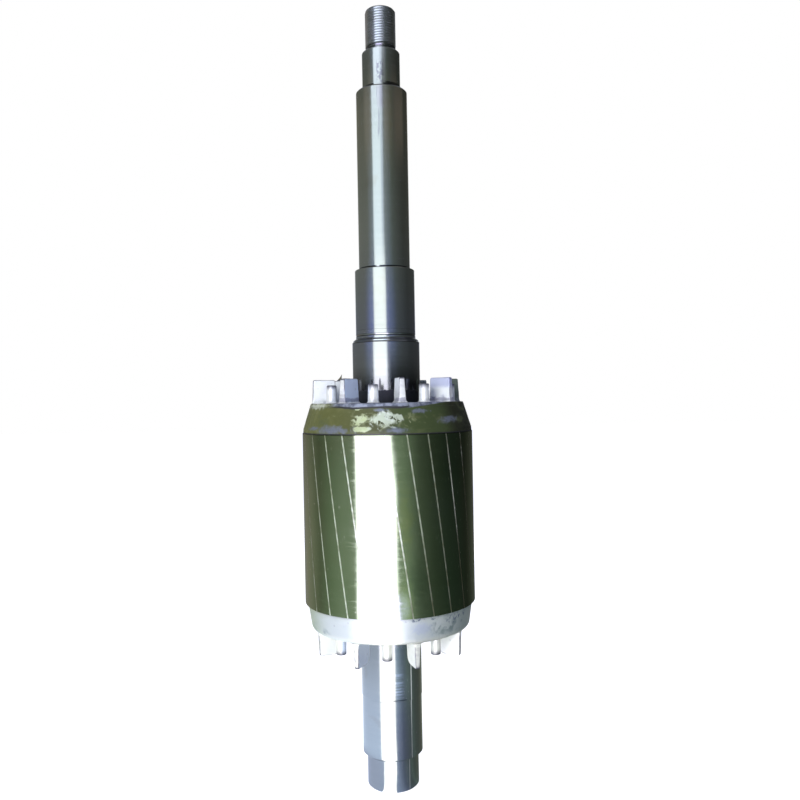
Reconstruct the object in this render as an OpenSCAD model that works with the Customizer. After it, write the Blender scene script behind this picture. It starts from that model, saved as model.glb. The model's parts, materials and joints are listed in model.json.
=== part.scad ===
// Rotor of a cage induction motor on its stepped shaft, with cast end rings, fan blades and balance pegs.
// The frame: millimetres, +Z up the shaft axis, origin at the centre of the shaft's lower end face.
// The rotor stands on that end. Angles are azimuths about +Z, counted from +X.

/* [Shaft] */
// Diameter of the lower journal, which the rotor stands on
lower_journal_d = 60; // [40:0.5:66]
// Length of the lower journal
lower_journal_len = 38; // [15:0.5:70]
// Diameter of the ground lower bearing seat
lower_seat_d = 70; // [66:0.5:70.5]
// Length of the lower bearing seat
lower_seat_len = 68; // [40:0.5:90]
// Diameter of the shaft between the lower bearing seat and the core seat
lower_body_d = 71; // [70.5:0.1:75]
// Length of the shaft between the lower bearing seat and the core seat
lower_body_len = 105.5; // [70:0.5:140]
// Diameter of the seat that the core is pressed on
core_seat_d = 76; // [75.5:0.1:78.5]
// Length of the core seat that stands out below the core
core_seat_over = 6; // [2:0.5:12]
// Diameter of the shoulder above the core
shoulder_d = 79; // [79:0.5:88]
// Length of the shoulder, up to the fillet under the upper bearing seat
shoulder_len = 102; // [70:0.5:150]
// Width of the bevel on the upper edge of the shoulder
shoulder_bevel = 2.5; // [0.5:0.1:4]
// Radius of the fillet between the shoulder and the upper bearing seat
shoulder_fillet = 4; // [1:0.1:5]
// Diameter of the ground upper bearing seat
upper_seat_d = 70; // [61:0.5:74]
// Length of the upper bearing seat with its relief groove
upper_seat_len = 80; // [50:0.5:120]
// Width of the relief groove at the foot of the upper bearing seat
relief_w = 3; // [1:0.1:6]
// Depth of each relief groove
relief_depth = 0.6; // [0.2:0.1:1.5]
// Diameter of the long drive seat
drive_seat_d = 60; // [48:0.5:60.5]
// Length of the long drive seat
drive_seat_len = 211; // [120:0.5:300]
// Width of the relief groove at the foot of the drive seat
drive_relief_w = 2.5; // [1:0.1:6]
// Diameter of the nose journal under the thread
nose_d = 44.5; // [38:0.5:47]
// Length of the nose journal
nose_len = 48; // [25:0.5:80]
// Diameter of the threaded tip over its crests
thread_d = 36; // [24:0.5:37]
// Length of the threaded tip
thread_len = 43; // [20:0.5:70]
// Width of the run-out groove under the thread
runout_len = 7; // [3:0.5:12]
// Depth of the run-out groove under the thread's crests
runout_depth = 2.2; // [1:0.1:3]
// Width of the bevel on the tip and on the lower end
end_bevel = 2; // [0.5:0.1:4]
// Width of the bevel on the other shaft edges
edge_bevel = 1.2; // [0.3:0.1:2]
// Pilot diameter of the lathe centre in each shaft end
centre_pilot_d = 6.3; // [2.5:0.1:8]
// Diameter of the lathe centre at the end face
centre_mouth_d = 13.2; // [9:0.1:18]
// Depth of the lathe centre's pilot hole
centre_depth = 14; // [10:0.5:24]

/* [Core] */
// Outside diameter of the laminated core
core_d = 199; // [150:0.5:260]
// Length of the laminated core
core_len = 196; // [120:1:300]
// Number of slots, each with its cast bar
slot_count = 26; // [16:1:32]
// Skew of the slots over the core, in slot pitches
skew_pitches = 1.15; // [0:0.05:1.5]
// Azimuth of the first slot at the middle of the core
slot_phase = -83; // [-180:0.1:180]
// Width of a slot's mouth at the surface
slot_mouth = 1.6; // [1:0.1:3.5]
// Depth of the slot's mouth before it widens
slot_lip = 2.6; // [2:0.1:4]
// Width of the slot under its mouth
slot_w = 9; // [5:0.1:11]
// Width of the slot's root
slot_root_w = 4.5; // [2.5:0.1:6]
// Depth of the whole slot
slot_depth = 27; // [16:0.5:34]

/* [End rings] */
// Height of the upper end ring
upper_ring_h = 34; // [18:0.5:45]
// Radius of the upper end ring's free edge, less than at its foot
upper_ring_top_r = 89.5; // [74:0.5:95]
// Height of the lower end ring
lower_ring_h = 30; // [18:0.5:45]
// Radius of the lower end ring's free edge
lower_ring_end_r = 92; // [74:0.5:95]
// How far the upper ring's foot stays inside the core's surface
upper_ring_inset = 0.7; // [0.2:0.1:4]
// How far the lower ring's foot stays inside the core's surface
lower_ring_inset = 3.5; // [0.2:0.1:5]
// Height of the straight land at each ring's foot
ring_land = 4; // [1:0.5:8]
// Width of the bevel on the upper ring's free edge
upper_ring_bevel = 1; // [0.3:0.1:3]
// Width of the bevel on the lower ring's free edge
lower_ring_bevel = 2.5; // [0.3:0.1:3]
// Bore radius of both rings at the core
ring_bore_r = 55; // [45:0.5:62]
// Widening of the ring bore towards its free face
ring_bore_draft = 1.5; // [0:0.1:3]

/* [Fan blades] */
// Number of fan blades on each ring, with as many balance pegs midway between them
blade_count = 8; // [4:1:8]
// Azimuth of the first upper blade
upper_blade_phase = -78; // [-180:0.5:180]
// Azimuth of the first lower blade
lower_blade_phase = -70; // [-180:0.5:180]
// Height of an upper blade above its ring
upper_blade_h = 27.5; // [15:0.5:45]
// Height of a lower blade above its ring
lower_blade_h = 28.5; // [15:0.5:45]
// Thickness of an upper blade at its foot
upper_blade_foot_t = 9.4; // [5:0.1:12]
// Thickness of an upper blade at its free edge
upper_blade_tip_t = 6.6; // [4:0.1:8]
// Thickness of a lower blade at its foot
lower_blade_foot_t = 7.6; // [5:0.1:12]
// Thickness of a lower blade at its free edge
lower_blade_tip_t = 5.4; // [4:0.1:8]
// How far the blade's inner edge stands out from the ring's bore
blade_bore_gap = 4.3; // [0.5:0.1:8]
// Length of a blade's foot along the radius
blade_len = 27.4; // [18:0.1:28]
// How far a blade's outer end leans in over its height
blade_end_draft = 1.2; // [0:0.1:3]
// Radius of the upper blades' inner free corner
upper_blade_corner = 2.5; // [1:0.1:10]
// Radius of the lower blades' inner free corner
lower_blade_corner = 8.5; // [1:0.1:12]
// Radius of each blade's outer free corner
blade_outer_corner = 2; // [0.5:0.1:4]
// Flare of a blade's foot on each side
blade_flare = 2.8; // [0.5:0.1:4]

/* [Balance pegs] */
// Diameter of a peg at its foot
peg_foot_d = 12.6; // [8:0.1:16]
// Diameter of a peg at its free end
peg_tip_d = 11.6; // [6:0.1:14]
// Height of a peg above its ring
peg_h = 20.5; // [10:0.5:36]
// Radius of the circle that the pegs stand on
peg_circle_r = 74.5; // [68:0.5:78]
// Width of the bevel on a peg's free end
peg_bevel = 1; // [0.2:0.1:2]

/* [Hidden] */
$fn = 96;
UPPER_BLADES = [for (i = [1 : blade_count]) str("upper_fan_blade_", i)];
LOWER_BLADES = [for (i = [1 : blade_count]) str("lower_fan_blade_", i)];
UPPER_PEGS = [for (i = [1 : blade_count]) str("upper_balance_peg_", i)];
LOWER_PEGS = [for (i = [1 : blade_count]) str("lower_balance_peg_", i)];

// Heights along the shaft, from its lower end
z_lower_seat = lower_journal_len;
z_lower_body = z_lower_seat + lower_seat_len;
z_core_seat = z_lower_body + lower_body_len;
z_core = z_core_seat + core_seat_over;
z_core_top = z_core + core_len;
z_shoulder_top = z_core_top + shoulder_len;
z_upper_seat = z_shoulder_top + shoulder_fillet;
z_drive_seat = z_upper_seat + upper_seat_len;
z_nose = z_drive_seat + drive_seat_len;
z_runout = z_nose + nose_len;
z_thread = z_runout + runout_len;
z_top = z_thread + thread_len;
z_lower_ring_end = z_core - lower_ring_h;
z_upper_ring_top = z_core_top + upper_ring_h;

// Slots and bars: each is a straight prism that leans round the core by the skew
slot_pitch = 360 / slot_count;
skew_half = slot_pitch * skew_pitches / 2;
slot_lean = atan(core_d / 2 * sin(skew_half) / (core_len / 2));
core_mid = z_core + core_len / 2;

blade_pitch = 360 / blade_count;
blade_r_in = ring_bore_r + ring_bore_draft + blade_bore_gap;
blade_r_out = blade_r_in + blade_len;
// Extra length of a cutting tool past the face that it cuts
over = 1;

// One end's lathe centre, with its mouth on z = 0 and its hole going down
module lathe_centre() {
    cone_depth = (centre_mouth_d - centre_pilot_d) / 2 / tan(30);
    translate([0, 0, -centre_depth])
        cylinder(d = centre_pilot_d, h = centre_depth + over);
    translate([0, 0, -cone_depth])
        cylinder(d1 = centre_pilot_d, d2 = centre_mouth_d, h = cone_depth);
}

// Half section of the turned shaft, from the lower end up
module shaft_section() {
    relief_r = upper_seat_d / 2 - relief_depth;
    drive_relief_r = drive_seat_d / 2 - relief_depth;
    runout_r = thread_d / 2 - runout_depth;
    difference() {
        polygon([
            [0, 0],
            [lower_journal_d / 2 - end_bevel, 0],
            [lower_journal_d / 2, end_bevel],
            [lower_journal_d / 2, z_lower_seat],
            [lower_seat_d / 2 - end_bevel, z_lower_seat],
            [lower_seat_d / 2, z_lower_seat + end_bevel],
            [lower_seat_d / 2, z_lower_body],
            [lower_body_d / 2, z_lower_body],
            [lower_body_d / 2, z_core_seat],
            [core_seat_d / 2 - edge_bevel, z_core_seat],
            [core_seat_d / 2, z_core_seat + edge_bevel],
            [core_seat_d / 2, z_core_top],
            [shoulder_d / 2, z_core_top],
            [shoulder_d / 2, z_shoulder_top - shoulder_bevel],
            [shoulder_d / 2 - shoulder_bevel, z_shoulder_top],
            [relief_r + shoulder_fillet, z_shoulder_top],
            [relief_r, z_upper_seat],
            [relief_r, z_upper_seat + relief_w],
            [upper_seat_d / 2, z_upper_seat + relief_w + relief_depth],
            [upper_seat_d / 2, z_drive_seat - edge_bevel],
            [upper_seat_d / 2 - edge_bevel, z_drive_seat],
            [drive_relief_r, z_drive_seat],
            [drive_relief_r, z_drive_seat + drive_relief_w],
            [drive_seat_d / 2, z_drive_seat + drive_relief_w + relief_depth],
            [drive_seat_d / 2, z_nose - edge_bevel],
            [drive_seat_d / 2 - edge_bevel, z_nose],
            [nose_d / 2, z_nose],
            [nose_d / 2, z_runout - edge_bevel],
            [nose_d / 2 - edge_bevel, z_runout],
            [runout_r, z_runout],
            [runout_r, z_thread - runout_depth],
            [thread_d / 2, z_thread],
            [thread_d / 2, z_top - end_bevel],
            [thread_d / 2 - end_bevel, z_top],
            [0, z_top]
        ]);
        // The fillet's round, which hollows the corner that the outline bevels
        translate([relief_r + shoulder_fillet, z_upper_seat])
            circle(r = shoulder_fillet);
    }
}

module shaft() {
    color([0.55, 0.57, 0.56])
        difference() {
            rotate_extrude()
                shaft_section();
            translate([0, 0, z_top])
                lathe_centre();
            mirror([0, 0, 1])
                lathe_centre();
        }
}

// Outline of a slot across the core: +X runs out along the radius. The mouth runs on past the surface.
module slot_outline() {
    r = core_d / 2;
    neck_r = r - slot_lip;
    root_r = r - slot_depth;
    round_w = slot_w / 4;
    polygon([
        [r + over, slot_mouth / 2],
        [neck_r, slot_mouth / 2],
        [neck_r - round_w / 2, slot_w / 2 - round_w],
        [neck_r - round_w * 1.6, slot_w / 2],
        [root_r + slot_root_w / 3, slot_root_w / 2],
        [root_r, slot_root_w / 5],
        [root_r, -slot_root_w / 5],
        [root_r + slot_root_w / 3, -slot_root_w / 2],
        [neck_r - round_w * 1.6, -slot_w / 2],
        [neck_r - round_w / 2, round_w - slot_w / 2],
        [neck_r, -slot_mouth / 2],
        [r + over, -slot_mouth / 2]
    ]);
}

// The prism of slot i, leaning by the skew and running past both core faces
module slot_prism(i) {
    length = core_len / cos(slot_lean) + 4 * slot_w;
    translate([0, 0, core_mid])
        rotate([0, 0, slot_phase + i * slot_pitch])
            rotate([slot_lean, 0, 0])
                linear_extrude(length, center = true)
                    slot_outline();
}

module laminated_core() {
    color([0.42, 0.45, 0.33])
        difference() {
            translate([0, 0, z_core])
                cylinder(d = core_d, h = core_len);
            translate([0, 0, z_core - over])
                cylinder(d = core_seat_d, h = core_len + 2 * over);
            for (i = [0 : slot_count - 1])
                slot_prism(i);
        }
}

module cage_bars() {
    color([0.83, 0.86, 0.78])
        for (i = [0 : slot_count - 1])
            intersection() {
                translate([0, 0, z_core])
                    cylinder(d = core_d, h = core_len);
                slot_prism(i);
            }
}

// A cast end ring on z = 0, with its free face up: land, cone, bevel and drafted bore
module end_ring(foot_r, end_r, height, bevel) {
    rotate_extrude()
        polygon([
            [ring_bore_r, 0],
            [foot_r, 0],
            [foot_r, ring_land],
            [end_r, height - bevel],
            [end_r - bevel, height],
            [ring_bore_r + ring_bore_draft, height]
        ]);
}

// A blade on z = 0, along +X: a drafted plate on a flared foot, cut to its outline from the side
module fan_blade(height, foot_t, tip_t, corner) {
    foot = foot_t / 2;
    tip = tip_t / 2;
    width = foot_t + 2 * blade_flare + 2 * over;
    intersection() {
        translate([blade_r_in, 0, 0])
            rotate([90, 0, 90])
                linear_extrude(blade_len)
                    polygon([
                        [-foot - blade_flare, 0],
                        [foot + blade_flare, 0],
                        [foot + blade_flare * 0.3, blade_flare * 0.7],
                        [foot, blade_flare * 1.8],
                        [tip, height],
                        [-tip, height],
                        [-foot, blade_flare * 1.8],
                        [-foot - blade_flare * 0.3, blade_flare * 0.7]
                    ]);
        translate([0, width / 2, 0])
            rotate([90, 0, 0])
                linear_extrude(width)
                    blade_side(height, corner);
    }
}

// A blade's outline from the side, with a round at its inner and its outer free corner
module blade_side(height, corner) {
    end_top = blade_r_out - blade_end_draft;
    union() {
        polygon([
            [blade_r_in, 0],
            [blade_r_out, 0],
            [end_top, height - blade_outer_corner],
            [end_top - blade_outer_corner, height],
            [blade_r_in + corner, height],
            [blade_r_in, height - corner]
        ]);
        translate([blade_r_in + corner, height - corner])
            circle(r = corner);
        translate([end_top - blade_outer_corner, height - blade_outer_corner])
            circle(r = blade_outer_corner);
    }
}

// A balance peg on z = 0, on the +X side of its circle
module balance_peg() {
    translate([peg_circle_r, 0, 0]) {
        cylinder(d1 = peg_foot_d, d2 = peg_tip_d, h = peg_h - peg_bevel);
        translate([0, 0, peg_h - peg_bevel])
            cylinder(d1 = peg_tip_d, d2 = peg_tip_d - 2 * peg_bevel, h = peg_bevel);
    }
}

// Puts a child that stands on z = 0 on the upper ring, turned to azimuth a
module on_upper_ring(a) {
    translate([0, 0, z_upper_ring_top])
        rotate([0, 0, a])
            children();
}

// Hangs a child that stands on z = 0 under the lower ring, turned to azimuth a
module on_lower_ring(a) {
    translate([0, 0, z_lower_ring_end])
        rotate([0, 0, a])
            mirror([0, 0, 1])
                children();
}

module upper_end_ring() {
    color([0.55, 0.58, 0.45])
        translate([0, 0, z_core_top])
            end_ring(core_d / 2 - upper_ring_inset, upper_ring_top_r, upper_ring_h, upper_ring_bevel);
}

module lower_end_ring() {
    color([0.85, 0.87, 0.86])
        translate([0, 0, z_core])
            mirror([0, 0, 1])
                end_ring(core_d / 2 - lower_ring_inset, lower_ring_end_r, lower_ring_h, lower_ring_bevel);
}

module upper_fan_blade(i) {
    color([0.8, 0.81, 0.84])
        on_upper_ring(upper_blade_phase + (i - 1) * blade_pitch)
            fan_blade(upper_blade_h, upper_blade_foot_t, upper_blade_tip_t, upper_blade_corner);
}

module lower_fan_blade(i) {
    color([0.8, 0.81, 0.84])
        on_lower_ring(lower_blade_phase + (i - 1) * blade_pitch)
            fan_blade(lower_blade_h, lower_blade_foot_t, lower_blade_tip_t, lower_blade_corner);
}

module upper_balance_peg(i) {
    color([0.74, 0.75, 0.8])
        on_upper_ring(upper_blade_phase + (i - 0.5) * blade_pitch)
            balance_peg();
}

module lower_balance_peg(i) {
    color([0.74, 0.75, 0.8])
        on_lower_ring(lower_blade_phase + (i - 0.5) * blade_pitch)
            balance_peg();
}

shaft();
laminated_core();
cage_bars();
upper_end_ring();
lower_end_ring();
for (i = [1 : blade_count]) {
    upper_fan_blade(i);
    lower_fan_blade(i);
    upper_balance_peg(i);
    lower_balance_peg(i);
}
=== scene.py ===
# %% [markdown]
# # The rotor of a cage induction motor
# This part is the turning half of an electric motor, standing on the lower end of its shaft. A stack of
# thin steel sheets is pressed on the shaft, and aluminium is cast through its slots, so that bars, end
# rings, fan blades and balance pegs are one cage.
# The frame comes first. It holds every solid at its true size and place. The pieces below take their main
# measures and their places from it, and each smaller size has a name of its own.

# %% Load the frame
import json
import math

import bmesh
import bpy
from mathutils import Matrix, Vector

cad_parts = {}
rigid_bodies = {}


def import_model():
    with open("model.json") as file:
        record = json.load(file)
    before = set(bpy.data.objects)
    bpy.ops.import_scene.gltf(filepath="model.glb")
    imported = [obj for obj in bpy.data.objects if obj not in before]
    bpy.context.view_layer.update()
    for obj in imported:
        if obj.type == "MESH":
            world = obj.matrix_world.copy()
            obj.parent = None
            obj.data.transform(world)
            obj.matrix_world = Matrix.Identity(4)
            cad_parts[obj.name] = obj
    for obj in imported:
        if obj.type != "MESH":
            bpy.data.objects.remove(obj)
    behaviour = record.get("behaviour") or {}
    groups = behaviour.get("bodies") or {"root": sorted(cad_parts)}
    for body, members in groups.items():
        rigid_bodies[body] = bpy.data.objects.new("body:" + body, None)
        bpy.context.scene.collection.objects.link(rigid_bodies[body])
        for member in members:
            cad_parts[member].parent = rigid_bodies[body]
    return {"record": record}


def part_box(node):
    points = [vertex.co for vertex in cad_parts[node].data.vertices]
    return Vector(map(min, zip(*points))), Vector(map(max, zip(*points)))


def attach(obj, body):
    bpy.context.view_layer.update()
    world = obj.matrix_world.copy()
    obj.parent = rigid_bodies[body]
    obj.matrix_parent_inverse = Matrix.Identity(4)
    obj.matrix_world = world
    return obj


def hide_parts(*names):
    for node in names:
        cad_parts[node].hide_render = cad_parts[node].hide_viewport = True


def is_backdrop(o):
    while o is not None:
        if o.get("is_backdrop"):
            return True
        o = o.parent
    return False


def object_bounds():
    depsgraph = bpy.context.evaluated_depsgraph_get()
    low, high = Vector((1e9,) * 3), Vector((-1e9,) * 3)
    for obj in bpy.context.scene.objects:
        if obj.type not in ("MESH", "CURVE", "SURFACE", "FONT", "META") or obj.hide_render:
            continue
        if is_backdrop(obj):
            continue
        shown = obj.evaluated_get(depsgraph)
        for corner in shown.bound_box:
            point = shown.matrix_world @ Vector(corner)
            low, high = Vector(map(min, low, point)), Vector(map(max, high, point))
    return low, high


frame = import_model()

MM = 0.001
cad_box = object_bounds()
print("the frame is", [round((b - a) / MM, 1) for a, b in zip(*cad_box)], "mm")

# %% [markdown]
# The record lists the seats on the shaft, each with its radius, its length and the height of its middle.
# They are the sizes that matter to whoever fits a bearing, so the outline of the shaft is built on them.

# %% Seats and heights from the frame
def seat(name):
    """The radius, lowest and highest height of a round seat."""
    mount = next(m for m in frame["record"]["mounts"] if m["name"] == name)
    half = mount["dims"]["length_mm"] * MM / 2
    middle = mount["pos_m"][2]
    return mount["dims"]["r_mm"] * MM, middle - half, middle + half


def reach(node):
    """A node's largest radius from the shaft axis, and its lowest and highest point."""
    low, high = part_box(node)
    return high[0], low[2], high[2]


core_r, core_low, core_high = reach("laminated_core")
shoulder_r, shaft_low, shaft_high = reach("shaft")
upper_foot_r, upper_ring_low, upper_ring_high = reach("upper_end_ring")
lower_foot_r, lower_ring_low, lower_ring_high = reach("lower_end_ring")
blade_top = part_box("upper_fan_blade_1")[1][2]
blade_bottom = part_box("lower_fan_blade_1")[0][2]
peg_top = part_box("upper_balance_peg_1")[1][2]
peg_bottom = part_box("lower_balance_peg_1")[0][2]
print("core from", round(core_low / MM, 1), "to", round(core_high / MM, 1), "mm, radius", round(core_r / MM, 1))

# %% [markdown]
# Operators act on whatever is selected, so each step first clears the selection and then picks faces,
# edges or points by where they are. These helpers do that.

# %% Helpers for selecting
tiny = 0.01 * MM
doubled = 0.002 * MM


def clear():
    """Leaves edit mode and selects nothing."""
    if bpy.context.object and bpy.context.object.mode != "OBJECT":
        bpy.ops.object.mode_set(mode="OBJECT")
    bpy.ops.object.select_all(action="DESELECT")


def only(piece, mode="OBJECT"):
    """Selects one piece and nothing else, in the mode that is asked for."""
    clear()
    piece.select_set(True)
    bpy.context.view_layer.objects.active = piece
    bpy.ops.object.mode_set(mode=mode)


def pick_all():
    """In edit mode, selects the whole mesh."""
    bpy.ops.mesh.select_all(action="SELECT")


def pick(piece, kind, test):
    """In edit mode, selects the points, edges or faces whose middle passes a test."""
    bpy.ops.mesh.select_mode(type=kind)
    bpy.ops.mesh.select_all(action="DESELECT")
    mesh = bmesh.from_edit_mesh(piece.data)
    group = {"VERT": mesh.verts, "EDGE": mesh.edges, "FACE": mesh.faces}[kind]
    picked = 0
    for item in group:
        points = [item.co] if kind == "VERT" else [v.co for v in item.verts]
        middle = sum(points, Vector()) / len(points)
        if test(middle, item):
            item.select_set(True)
            picked += 1
    mesh.select_flush_mode()
    bmesh.update_edit_mesh(piece.data)
    return picked

# %% [markdown]
# A piece keeps its place in its mesh, and its object stays at the origin. These helpers see to that, apply
# modifiers, and tie each finished piece to the frame.

# %% Helpers for finishing a piece
def place_in_mesh(piece):
    """Moves an object's place, turn and size into its mesh."""
    only(piece)
    bpy.ops.object.transform_apply(location=True, rotation=True, scale=True)


def adopt(name, scale=(1, 1, 1)):
    """Names the object that was just added, and moves its place and size into its mesh."""
    piece = bpy.context.object
    piece.name = piece.data.name = name
    piece.scale = scale
    place_in_mesh(piece)
    return piece


def add_modifier(piece, kind, **values):
    """Adds a modifier with the given values and applies it."""
    only(piece)
    modifier = piece.modifiers.new(kind.title(), kind)
    for key, value in values.items():
        setattr(modifier, key, value)
    bpy.ops.object.modifier_apply(modifier=modifier.name)


def tidy_mesh(piece, angle=30):
    """Merges doubled points, turns the faces outwards and shades the round ones smooth."""
    only(piece, "EDIT")
    bpy.ops.mesh.select_mode(type="VERT")
    pick_all()
    bpy.ops.mesh.remove_doubles(threshold=doubled)
    bpy.ops.mesh.normals_make_consistent(inside=False)
    bpy.ops.object.mode_set(mode="OBJECT")
    bpy.ops.object.shade_smooth_by_angle(angle=math.radians(angle))


def tell(piece):
    """Prints a piece's size, and how many edges are not shared by two faces."""
    mesh = bmesh.new()
    mesh.from_mesh(piece.data)
    loose = sum(1 for e in mesh.edges if len(e.link_faces) != 2)
    triangles = sum(len(f.verts) - 2 for f in mesh.faces)
    size = [round(d / MM, 1) for d in piece.dimensions]
    volume = mesh.calc_volume() / MM ** 3
    print(f"{piece.name}: {size} mm, {triangles} triangles, {loose} open edges, {volume:.0f} cubic mm")
    mesh.free()


def finish_piece(piece, slot, *nodes):
    """Ties a finished piece to the frame: its body and the nodes it stands for. Its finish, the slot, is not used."""
    place_in_mesh(piece)
    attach(piece, "root")
    if nodes:
        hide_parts(*nodes)
    tell(piece)

# %% [markdown]
# Turned parts come off a lathe, and spinning an outline round the axis makes them the same way. The
# outline starts as one point, which is extruded from corner to corner. Corners that a file or a stone has
# broken are rounded with a bevel before the outline is spun, while there are only a few points to bevel.

# %% Helpers for turned pieces
def near(point, corner):
    """True if a point lies on an outline's corner."""
    return abs(point.x - corner[0]) < tiny and abs(point.z - corner[1]) < tiny


def draw_outline(name, corners, closed=False):
    """Draws an outline of (radius, height) corners in the XZ plane, starting from a small plane."""
    clear()
    bpy.ops.mesh.primitive_plane_add(size=MM, location=(corners[0][0], 0, corners[0][1]))
    piece = adopt(name)
    only(piece, "EDIT")
    pick_all()
    bpy.ops.mesh.merge(type="CENTER")
    for (r0, z0), (r1, z1) in zip(corners, corners[1:]):
        bpy.ops.mesh.extrude_region_move(TRANSFORM_OT_translate={"value": (r1 - r0, 0, z1 - z0)})
    if closed:
        ends = [corners[0], corners[-1]]
        pick(piece, "VERT", lambda m, v: any(near(m, e) for e in ends))
        bpy.ops.mesh.edge_face_add()
    return piece


def round_corners(piece, corners, radius, segments=3):
    """Rounds some corners of an outline."""
    pick(piece, "VERT", lambda m, v: any(near(m, c) for c in corners))
    bpy.ops.mesh.bevel(offset=radius, segments=segments, affect="VERTICES")


def spin_outline(piece, facets):
    """Spins an outline all the way round the shaft axis."""
    bpy.ops.mesh.select_mode(type="VERT")
    pick_all()
    bpy.ops.mesh.spin(steps=facets, angle=math.tau, center=(0, 0, 0), axis=(0, 0, 1))
    bpy.ops.object.mode_set(mode="OBJECT")
    tidy_mesh(piece)

# %% [markdown]
# ## The shaft
# One bar of steel, turned down in steps. Each bearing seat ends against a shoulder, with a hollow fillet or a
# fine groove in the corner. The frame gives the seats, and the few small sizes between them are named
# here. A few steps stand a little higher than the end of the seat under them, because the seat stops short
# of its corner. Both ends have the lathe centre that held the shaft while it was turned.

# %% The shaft's sizes
journal_r, journal_low, journal_high = seat("lower_journal")
lower_seat_r, lower_seat_low, lower_seat_high = seat("lower_bearing_seat")
upper_seat_r, upper_seat_low, _ = seat("upper_bearing_seat")
drive_r, drive_low, _ = seat("drive_seat")
nose_r, nose_low, nose_high = seat("nose_journal")
thread_r, thread_low, thread_high = seat("threaded_tip")

body_r = lower_seat_r + 0.5 * MM
core_seat_r = 38.0 * MM
core_seat_over = 6.0 * MM
seat_fillet = 2.0 * MM
shoulder_bevel = 1.1 * MM
shoulder_step = 1.2 * MM
shoulder_flare = 0.2 * MM
body_step = 0.3 * MM
seat_bevel = 0.8 * MM
groove_depth = 0.35 * MM
groove_w = 1.0 * MM
drive_bevel = 1.8 * MM
edge = 1.2 * MM
runout_depth = 2.2 * MM
broken_edge = 0.25 * MM
shaft_facets = 144
thread_foot = thread_low - 3.0 * MM
centre_mouth_r = 6.6 * MM
centre_pilot_r = 3.15 * MM
centre_depth = 14.0 * MM
centre_cone = (centre_mouth_r - centre_pilot_r) / math.tan(math.radians(30))

# %% [markdown]
# The outline runs up from the lower lathe centre, along the outside, and back to the axis under the thread.
# The thread is joined to it later.

# %% The shaft's outline, spun
def fillet_corners(centre_r, centre_z, radius, steps=6):
    """A hollow quarter round, from its upper end on the shoulder to its foot on the seat."""
    turns = [math.radians(90) * i / steps for i in range(steps + 1)]
    return [(centre_r - radius * math.sin(t), centre_z - radius * math.cos(t)) for t in turns]


fillet_z = upper_seat_low - 0.3 * MM
step_z = fillet_z - seat_fillet
shoulder_z = step_z - 2 * shoulder_step
shoulder_top_r = upper_seat_r + seat_fillet + shoulder_step
groove_z = upper_seat_low + 1.8 * MM
drive_top_z = nose_low + 2.0 * MM
nose_top = nose_high + edge
shaft_corners = [
    (0, centre_depth),
    (centre_pilot_r, centre_depth),
    (centre_pilot_r, centre_cone),
    (centre_mouth_r, 0),
    (journal_r - journal_low, 0),
    (journal_r, journal_low),
    (journal_r, journal_high),
    (lower_seat_r - (lower_seat_low - journal_high), journal_high),
    (lower_seat_r, lower_seat_low),
    (lower_seat_r, lower_seat_high),
    (body_r, lower_seat_high + body_step),
    (body_r, core_low - core_seat_over),
    (core_seat_r - edge, core_low - core_seat_over),
    (core_seat_r, core_low - core_seat_over + edge),
    (core_seat_r, core_high),
    (shoulder_r, core_high),
    (shoulder_r, shoulder_z - shoulder_bevel),
    (shoulder_top_r + shoulder_flare, shoulder_z),
    (shoulder_top_r, step_z - shoulder_step),
    *fillet_corners(upper_seat_r + seat_fillet, fillet_z, seat_fillet),
    (upper_seat_r, groove_z),
    (upper_seat_r - groove_depth, groove_z + groove_depth),
    (upper_seat_r - groove_depth, groove_z + groove_w),
    (upper_seat_r, groove_z + groove_w + groove_depth),
    (upper_seat_r, drive_low - seat_bevel),
    (upper_seat_r - seat_bevel, drive_low),
    (drive_r - groove_depth, drive_low),
    (drive_r - groove_depth, drive_low + groove_w),
    (drive_r, drive_low + groove_w + groove_depth),
    (drive_r, drive_top_z - drive_bevel),
    (drive_r - drive_bevel, drive_top_z),
    (nose_r, drive_top_z),
    (nose_r, nose_high),
    (nose_r - edge, nose_top),
    (thread_r - runout_depth, nose_top),
    (thread_r - runout_depth, thread_foot + MM),
    (0, thread_foot + MM),
]
shaft = draw_outline("turned_shaft", shaft_corners)
broken = [c for c in shaft_corners if c[0] > centre_pilot_r and c[1] < thread_foot]
round_corners(shaft, broken, broken_edge, 2)
spin_outline(shaft, shaft_facets)
tell(shaft)

# %% [markdown]
# ## The thread on the tip
# A thread is one tooth carried up a helix. The Screw modifier does just that with an outline one pitch
# long, and its turns close up into one skin. Cutting the skin off square at both ends gives a solid, and
# the part that it shares with a bevelled blank is the finished thread, with its tapered first turn. The
# thread runs out one pitch below its seat. At the end the shaft's normals are weighted by area, so that the
# long faces keep their own straight normals and mirror a straight room.

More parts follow.
